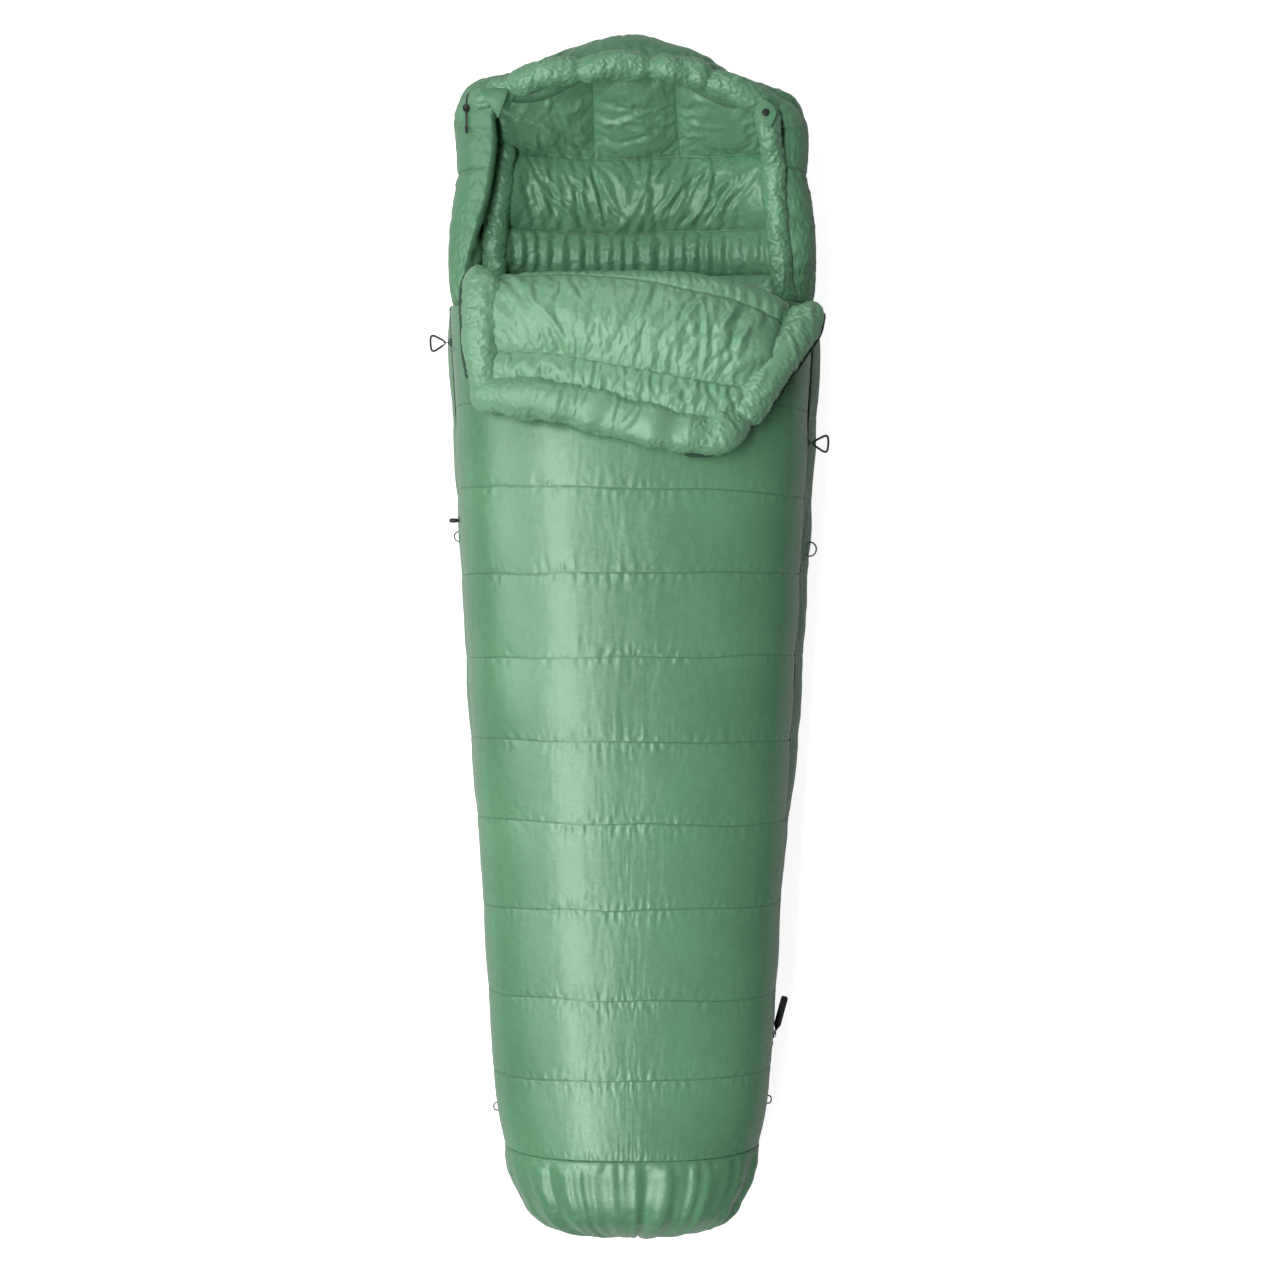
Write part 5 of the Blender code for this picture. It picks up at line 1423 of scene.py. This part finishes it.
# millimetres outward from the slider and along the zip
D_SHAPE = ((0, -1.5), (0, 0), (0, 1.5), (3.0, 4.4), (9.0, 8.2), (15.5, 12.0), (20.5, 14.6),
           (24.6, 15.0), (27.2, 12.2), (28.3, 6.5), (28.6, 0), (28.3, -6.5), (27.2, -12.2),
           (24.6, -15.0), (20.5, -14.6), (15.5, -12.0), (9.0, -8.2), (3.0, -4.4))
D_START = 15.2                 # millimetres from the zip to the loop's inner end


def closed_cord(name, keys, radius, count=150, around=12):
    """Braided cord through keys, joined end to end, thinner near its first point."""
    keys = np.concatenate([keys[-3:], keys, keys[:3]])
    at = np.linspace(3, len(keys) - 3, count + 1)[:-1]
    i = np.floor(at).astype(int)
    t = (at - i)[:, None]
    before, start, end, after = keys[i - 1], keys[i], keys[i + 1], keys[i + 2]
    centre = 0.5 * (2 * start + (end - before) * t
                    + (2 * before - 5 * start + 4 * end - after) * t**2
                    + (3 * start - before - 3 * end + after) * t**3)
    tangent = unit(np.roll(centre, -1, 0) - np.roll(centre, 1, 0))
    up = np.broadcast_to((0.0, 0.0, 1.0), centre.shape)
    side = np.cross(tangent, up)
    angle = circle(around)
    j = np.arange(count)[:, None]
    swell = 1 + 0.60 * smooth(np.linalg.norm(centre - centre[0], axis=1) / 0.009)
    lay = j * 2 * math.pi / 5
    radii = radius * swell[:, None] * (
        1 + 0.09 * np.sin(2 * angle + lay) * np.sin(2 * angle - lay))
    grid = (centre[:, None] + (radii * np.cos(angle))[..., None] * side[:, None]
            + (radii * np.sin(angle))[..., None] * up[:, None])
    i = np.arange(around)
    next_j, next_i = (j + 1) % count * around, (i + 1) % around
    faces = np.stack([j * around + i, next_j + i, next_j + next_i, j * around + next_i], -1)
    piece = make(name, grid, faces.reshape(-1, 4), [CORD])
    turn_outward(piece)
    return piece


for tag, y, size in (("left", 0.509, 0.88), ("right", 0.335, 0.92)):
    out, along = zip_axes(SIDES[tag])
    keys = [zip_point(SIDES[tag], y) + out * (D_START + outward * size) * MILLIMETRE
            # the short side at the slider keeps its width
            + along * (sideways if abs(sideways) < 2 else sideways * size) * MILLIMETRE
            for outward, sideways in D_SHAPE]
    place(closed_cord(f"{tag}_loop_cord", np.array(keys), radius=0.00128), f"{tag}_loop",
          "cord", f"{tag}_pull_loop")


# ================================================================ side loops
def loop_tape(name, start_x, end_x, y, radius, width, thick):
    """Narrow tape on edge: out from the bag, round the end and back."""
    z = 0.096
    sign = math.copysign(1.0, end_x - start_x)
    centre_x = end_x - sign * radius
    middle_x = (start_x + centre_x) / 2
    bend = [(centre_x + sign * radius * math.sin(angle), y + radius * math.cos(angle), z)
            for angle in np.radians(np.linspace(0, 180, 9))]
    keys = ([(start_x, y + 0.80 * radius, z), (middle_x, y + 0.95 * radius, z)] + bend
            + [(middle_x, y - 0.95 * radius, z), (start_x, y - 0.80 * radius, z)])
    centre = spline(keys, 56)
    side, up = side_and_up(centre)
    across = np.array([-1, -0.7, 0, 0.7, 1, 1, 0.7, 0, -0.7, -1]) * thick / 2
    rise = np.array([-0.8, -1, -1, -1, -0.8, 0.8, 1, 1, 1, 0.8]) * width / 2
    return closed_tube(name, centre[:, None] + across[:, None] * side[:, None]
                       + rise[:, None] * up[:, None], GREY_CORD)


place(loop_tape("left_side_loop_tape", start_x=-0.287, end_x=-0.3108, y=0.174, radius=0.0088,
                width=0.0050, thick=0.0024), "root", "cord", "left_side_loop")
place(loop_tape("right_side_loop_tape", start_x=0.291, end_x=0.3225, y=0.152, radius=0.0125,
                width=0.0050, thick=0.0026), "root", "cord", "right_side_loop")

# sleeve on the left lower pull
SLEEVE_KEYS = ((-0.2998, 0.2001, 0.1250), (-0.3055, 0.2001, 0.1252),
               (-0.3110, 0.2001, 0.1250), (-0.3168, 0.2001, 0.1250))


def sleeve_radius(part):
    return 0.0031 + 0.0009 * smooth(part / 0.45)


place(closed_tube("left_lower_pull_sleeve", tube_grid(SLEEVE_KEYS, sleeve_radius, 32, 18)[0],
                  PLASTIC), "left_lower_pull", "cord")

# ================================================================ zips on the flap's edge
# outward and upward offsets of the tape's and a tooth's outline
EDGE_TAPE = ((-0.0030, 0.0010), (0.0010, 0.0009), (0.0036, 0.00075), (0.0040, 0.0004),
             (0.0040, -0.0004), (0.0036, -0.00075), (0.0010, -0.0009), (-0.0030, -0.0010))
EDGE_TOOTH = np.array(((0.0014, 0.0007), (0.0030, 0.00135), (0.0050, 0.00125),
                       (0.0054, 0.0006), (0.0054, -0.0006), (0.0050, -0.00125),
                       (0.0030, -0.00135), (0.0014, -0.0007)))
# offset along the zip of a tooth's sections, and the thickness there
EDGE_SECTIONS = np.array(((-0.00055, 0.8), (-0.0003, 1.0), (0.0003, 1.0), (0.00055, 0.8)))
FLAP_MIDDLE = np.array((0.0, 0.45))


def outer_line(grid, rows):
    """A tube's outermost points seen from above, ring by ring, and their directions."""
    centre = grid.mean(1)
    tangent = np.gradient(centre, axis=0)
    points, outs = [], []
    for j in rows:
        out = unit(np.array([tangent[j, 1], -tangent[j, 0], 0.0]))
        if np.dot(out[:2], centre[j, :2] - FLAP_MIDDLE) < 0:
            out = -out
        points.append(grid[j, int(np.argmax(grid[j] @ out - 0.25 * grid[j, :, 2]))])
        outs.append(out)
    return np.array(points), np.array(outs)


def edge_zip(tag, line, outs):
    """Tape standing out of the tube's edge with a row of teeth on it."""
    for _ in range(6):
        for values in (line, outs):
            values[1:-1] = 0.25 * values[:-2] + 0.5 * values[1:-1] + 0.25 * values[2:]
    run = run_length(line)
    at = np.linspace(0, run[-1], 260)
    centre = sample(at, run, line)
    out = unit(sample(at, run, outs))
    tangent = unit(np.gradient(centre, axis=0))
    out = unit(out - np.sum(out * tangent, 1, keepdims=True) * tangent)
    up = np.cross(out, tangent)
    up *= np.sign(up[:, 2:3])
    out = out * 0.96 - up * 0.28       # the tape dips a little
    wobble = 0.0006 * waves(at, 5, 0.03)
    grid = np.stack([centre + out * outward + up * (rise + wobble)[:, None]
                     for outward, rise in EDGE_TAPE], 1)
    place(closed_tube(f"flap_{tag}_tape", grid, TAPE), "flap", "zip_tape",
          f"flap_{tag}_zip_tape")
    tooth_at = np.arange(2, int(run[-1] / TOOTH_PITCH) - 1) * TOOTH_PITCH
    centre, out, up, tangent = (sample(tooth_at, at, values)[:, None, None]
                                for values in (centre, out, up, tangent))
    wobble = np.interp(tooth_at, at, wobble)[:, None, None, None]
    outward, rise = EDGE_TOOTH[None, :, :1], EDGE_TOOTH[None, :, 1:]
    shift, size = EDGE_SECTIONS[:, :1, None], EDGE_SECTIONS[:, 1:, None]
    teeth = centre + out * outward + up * (rise * size + wobble) + tangent * shift
    place(bars(f"flap_{tag}_teeth", teeth, COIL, sharp=50), "flap", "zip_coil")


right, left, hem = CLOTH["flap_right"], CLOTH["flap_left"], CLOTH["flap_hem"]
side_line = outer_line(right, range(4, int(len(right) * 0.80), 2))
hem_line = outer_line(hem, range(int(len(hem) * 0.83), int(len(hem) * 0.71), -2))
edge_zip("right", *(np.concatenate(pair) for pair in zip(side_line, hem_line)))
edge_zip("left", *outer_line(left, range(4, int(len(left) * 0.86), 2)))

# ================================================================ drawcord
LOCK_X, LOCK_Y, LOCK_Z = -0.279, 0.889, 0.207
DRAWCORD_OFFSETS = ((0, -0.031, -0.001), (0, -0.012, 0), (0, 0.010, 0),
                    (0.001, 0.020, -0.002), (0.005, 0.030, -0.012), (0.012, 0.036, -0.030))


def drawcord():
    keys = np.array(DRAWCORD_OFFSETS) + (LOCK_X, LOCK_Y, LOCK_Z)
    grid, centre, part = tube_grid(keys, 0.00135, 90, 12)
    angle = 2 * circle(12)
    lay = part[:, None] * run_length(centre)[-1] / 0.0016 * 2 * math.pi / 4
    twist = 1 + 0.10 * np.sin(angle + lay) * np.sin(-angle + lay)
    grid = centre[:, None] + (grid - centre[:, None]) * twist[..., None]
    place(closed_tube("drawcord_tail", grid, CORD), "root", "cord", "hood_drawcord")


drawcord()


# ================================================================ CAD pieces kept as they are
def dress(node, material, bevel=0.0):
    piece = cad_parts[node]
    piece.data.materials.clear()
    piece.data.materials.append(material)
    if bevel:
        modifier = piece.modifiers.new("edge", "BEVEL")
        modifier.width = bevel
        modifier.segments = 2
        modifier.limit_method = "ANGLE"
        modifier.angle_limit = math.radians(35)


for tag in SIDES:
    dress(f"{tag}_zip_tape_top", TAPE)
    dress(f"{tag}_zip_tape_under", TAPE)
    dress(f"{tag}_zip_stop", METAL, bevel=0.0005)
    dress(f"{tag}_slider", METAL, bevel=0.0004)
    dress(f"{tag}_lower_slider", METAL, bevel=0.0004)
    dress(f"{tag}_pull_tab", METAL, bevel=0.00025)
    dress(f"{tag}_foot_loop", CORD)
dress("left_lower_pull", METAL, bevel=0.0003)
dress("right_lower_pull", WEBBING, bevel=0.0003)
dress("cord_end", PLASTIC, bevel=0.0004)
dress("cord_lock_barrel", PLASTIC, bevel=0.0005)
dress("cord_lock_plunger", PLASTIC, bevel=0.0005)
dress("cord_lock_spring", STEEL)
dress("snap_cap", PLASTIC, bevel=0.0004)
dress("flap_snap_stud", PLASTIC, bevel=0.0003)

# ================================================================ floor, light, camera
FLOOR_HALF = 60
SEEN_WHITE = 0.90              # brightness the camera sees in the floor and the backdrop
WORLD_LIGHT = 0.02             # what the world adds to the light


def build_floor():
    mesh = bpy.data.meshes.new("floor")
    corners = ((-1, -1), (1, -1), (1, 1), (-1, 1))
    mesh.from_pydata([(x * FLOOR_HALF, y * FLOOR_HALF, -FLOOR_GAP) for x, y in corners], [],
                     [(0, 1, 2, 3)])
    floor = bpy.data.objects.new("floor", mesh)
    SCENE.collection.objects.link(floor)
    shader = Shader(bpy.data.materials.new("pale_floor"))
    # glows for the camera only, so it adds no light to the bag
    camera_ray = shader.add("LightPath")["Is Camera Ray"]
    glow = shader.add("Math", {0: camera_ray, 1: SEEN_WHITE}, operation="MULTIPLY")[0]
    mesh.materials.append(shader.surface({
        "Base Color": (0.62, 0.62, 0.62, 1), "Roughness": 0.9, "Specular IOR Level": 0.0,
        "Emission Color": (1, 1, 1, 1), "Emission Strength": glow}))


def build_world():
    world = bpy.data.worlds.new("studio")
    SCENE.world = world
    shader = Shader(world)
    nodes = shader.tree.nodes
    light = nodes["Background"]
    shader.feed(light, {0: (0.95, 0.98, 1.0, 1), 1: WORLD_LIGHT})
    camera_ray = shader.add("LightPath")["Is Camera Ray"]
    seen = shader.add("Background", {0: (1, 1, 1, 1), 1: SEEN_WHITE})[0]
    mixed = shader.add("MixShader", {0: camera_ray, 1: light.outputs[0], 2: seen})[0]
    shader.feed(nodes["World Output"], {"Surface": mixed})


def area_light(name, at, target, size, size_y, power):
    """Rectangular lamp facing its target; size is its side square to the Y axis."""
    light = bpy.data.lights.new(name, "AREA")
    light.shape = "RECTANGLE"
    light.size, light.size_y = size, size_y
    light.energy = power
    lamp = bpy.data.objects.new(name, light)
    away = (Vector(at) - Vector(target)).normalized()
    side = Vector((0, 1, 0)).cross(away).normalized()
    matrix = Matrix((side, away.cross(side), away)).transposed().to_4x4()
    matrix.translation = Vector(at)
    lamp.matrix_world = matrix
    SCENE.collection.objects.link(lamp)


def build_camera():
    lens = bpy.data.cameras.new("camera")
    lens.sensor_width = 36.0
    lens.lens = 48.6
    camera = bpy.data.objects.new("camera", lens)
    camera.location = (0.007, 0.0, 3.1)
    SCENE.collection.objects.link(camera)
    SCENE.camera = camera
    SCENE.view_settings.view_transform = "Standard"


build_floor()
build_world()
area_light("top", at=(-0.86, -0.90, 3.2), target=(0.0, -0.60, 0.2), size=0.42, size_y=5.4,
           power=95)
area_light("left", at=(-2.5, 0.5, 2.1), target=(0.0, 0.1, 0.1), size=1.4, size_y=2.2,
           power=22)
area_light("left_far", at=(-2.2, -0.4, 3.0), target=(0.0, -0.3, 0.1), size=1.4, size_y=4.0,
           power=29)
area_light("head", at=(0.1, 3.2, 2.2), target=(0.0, 0.5, 0.1), size=2.0, size_y=1.4,
           power=20)
build_camera()

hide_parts("flap_shell", "flap_fill", "flap_liner")
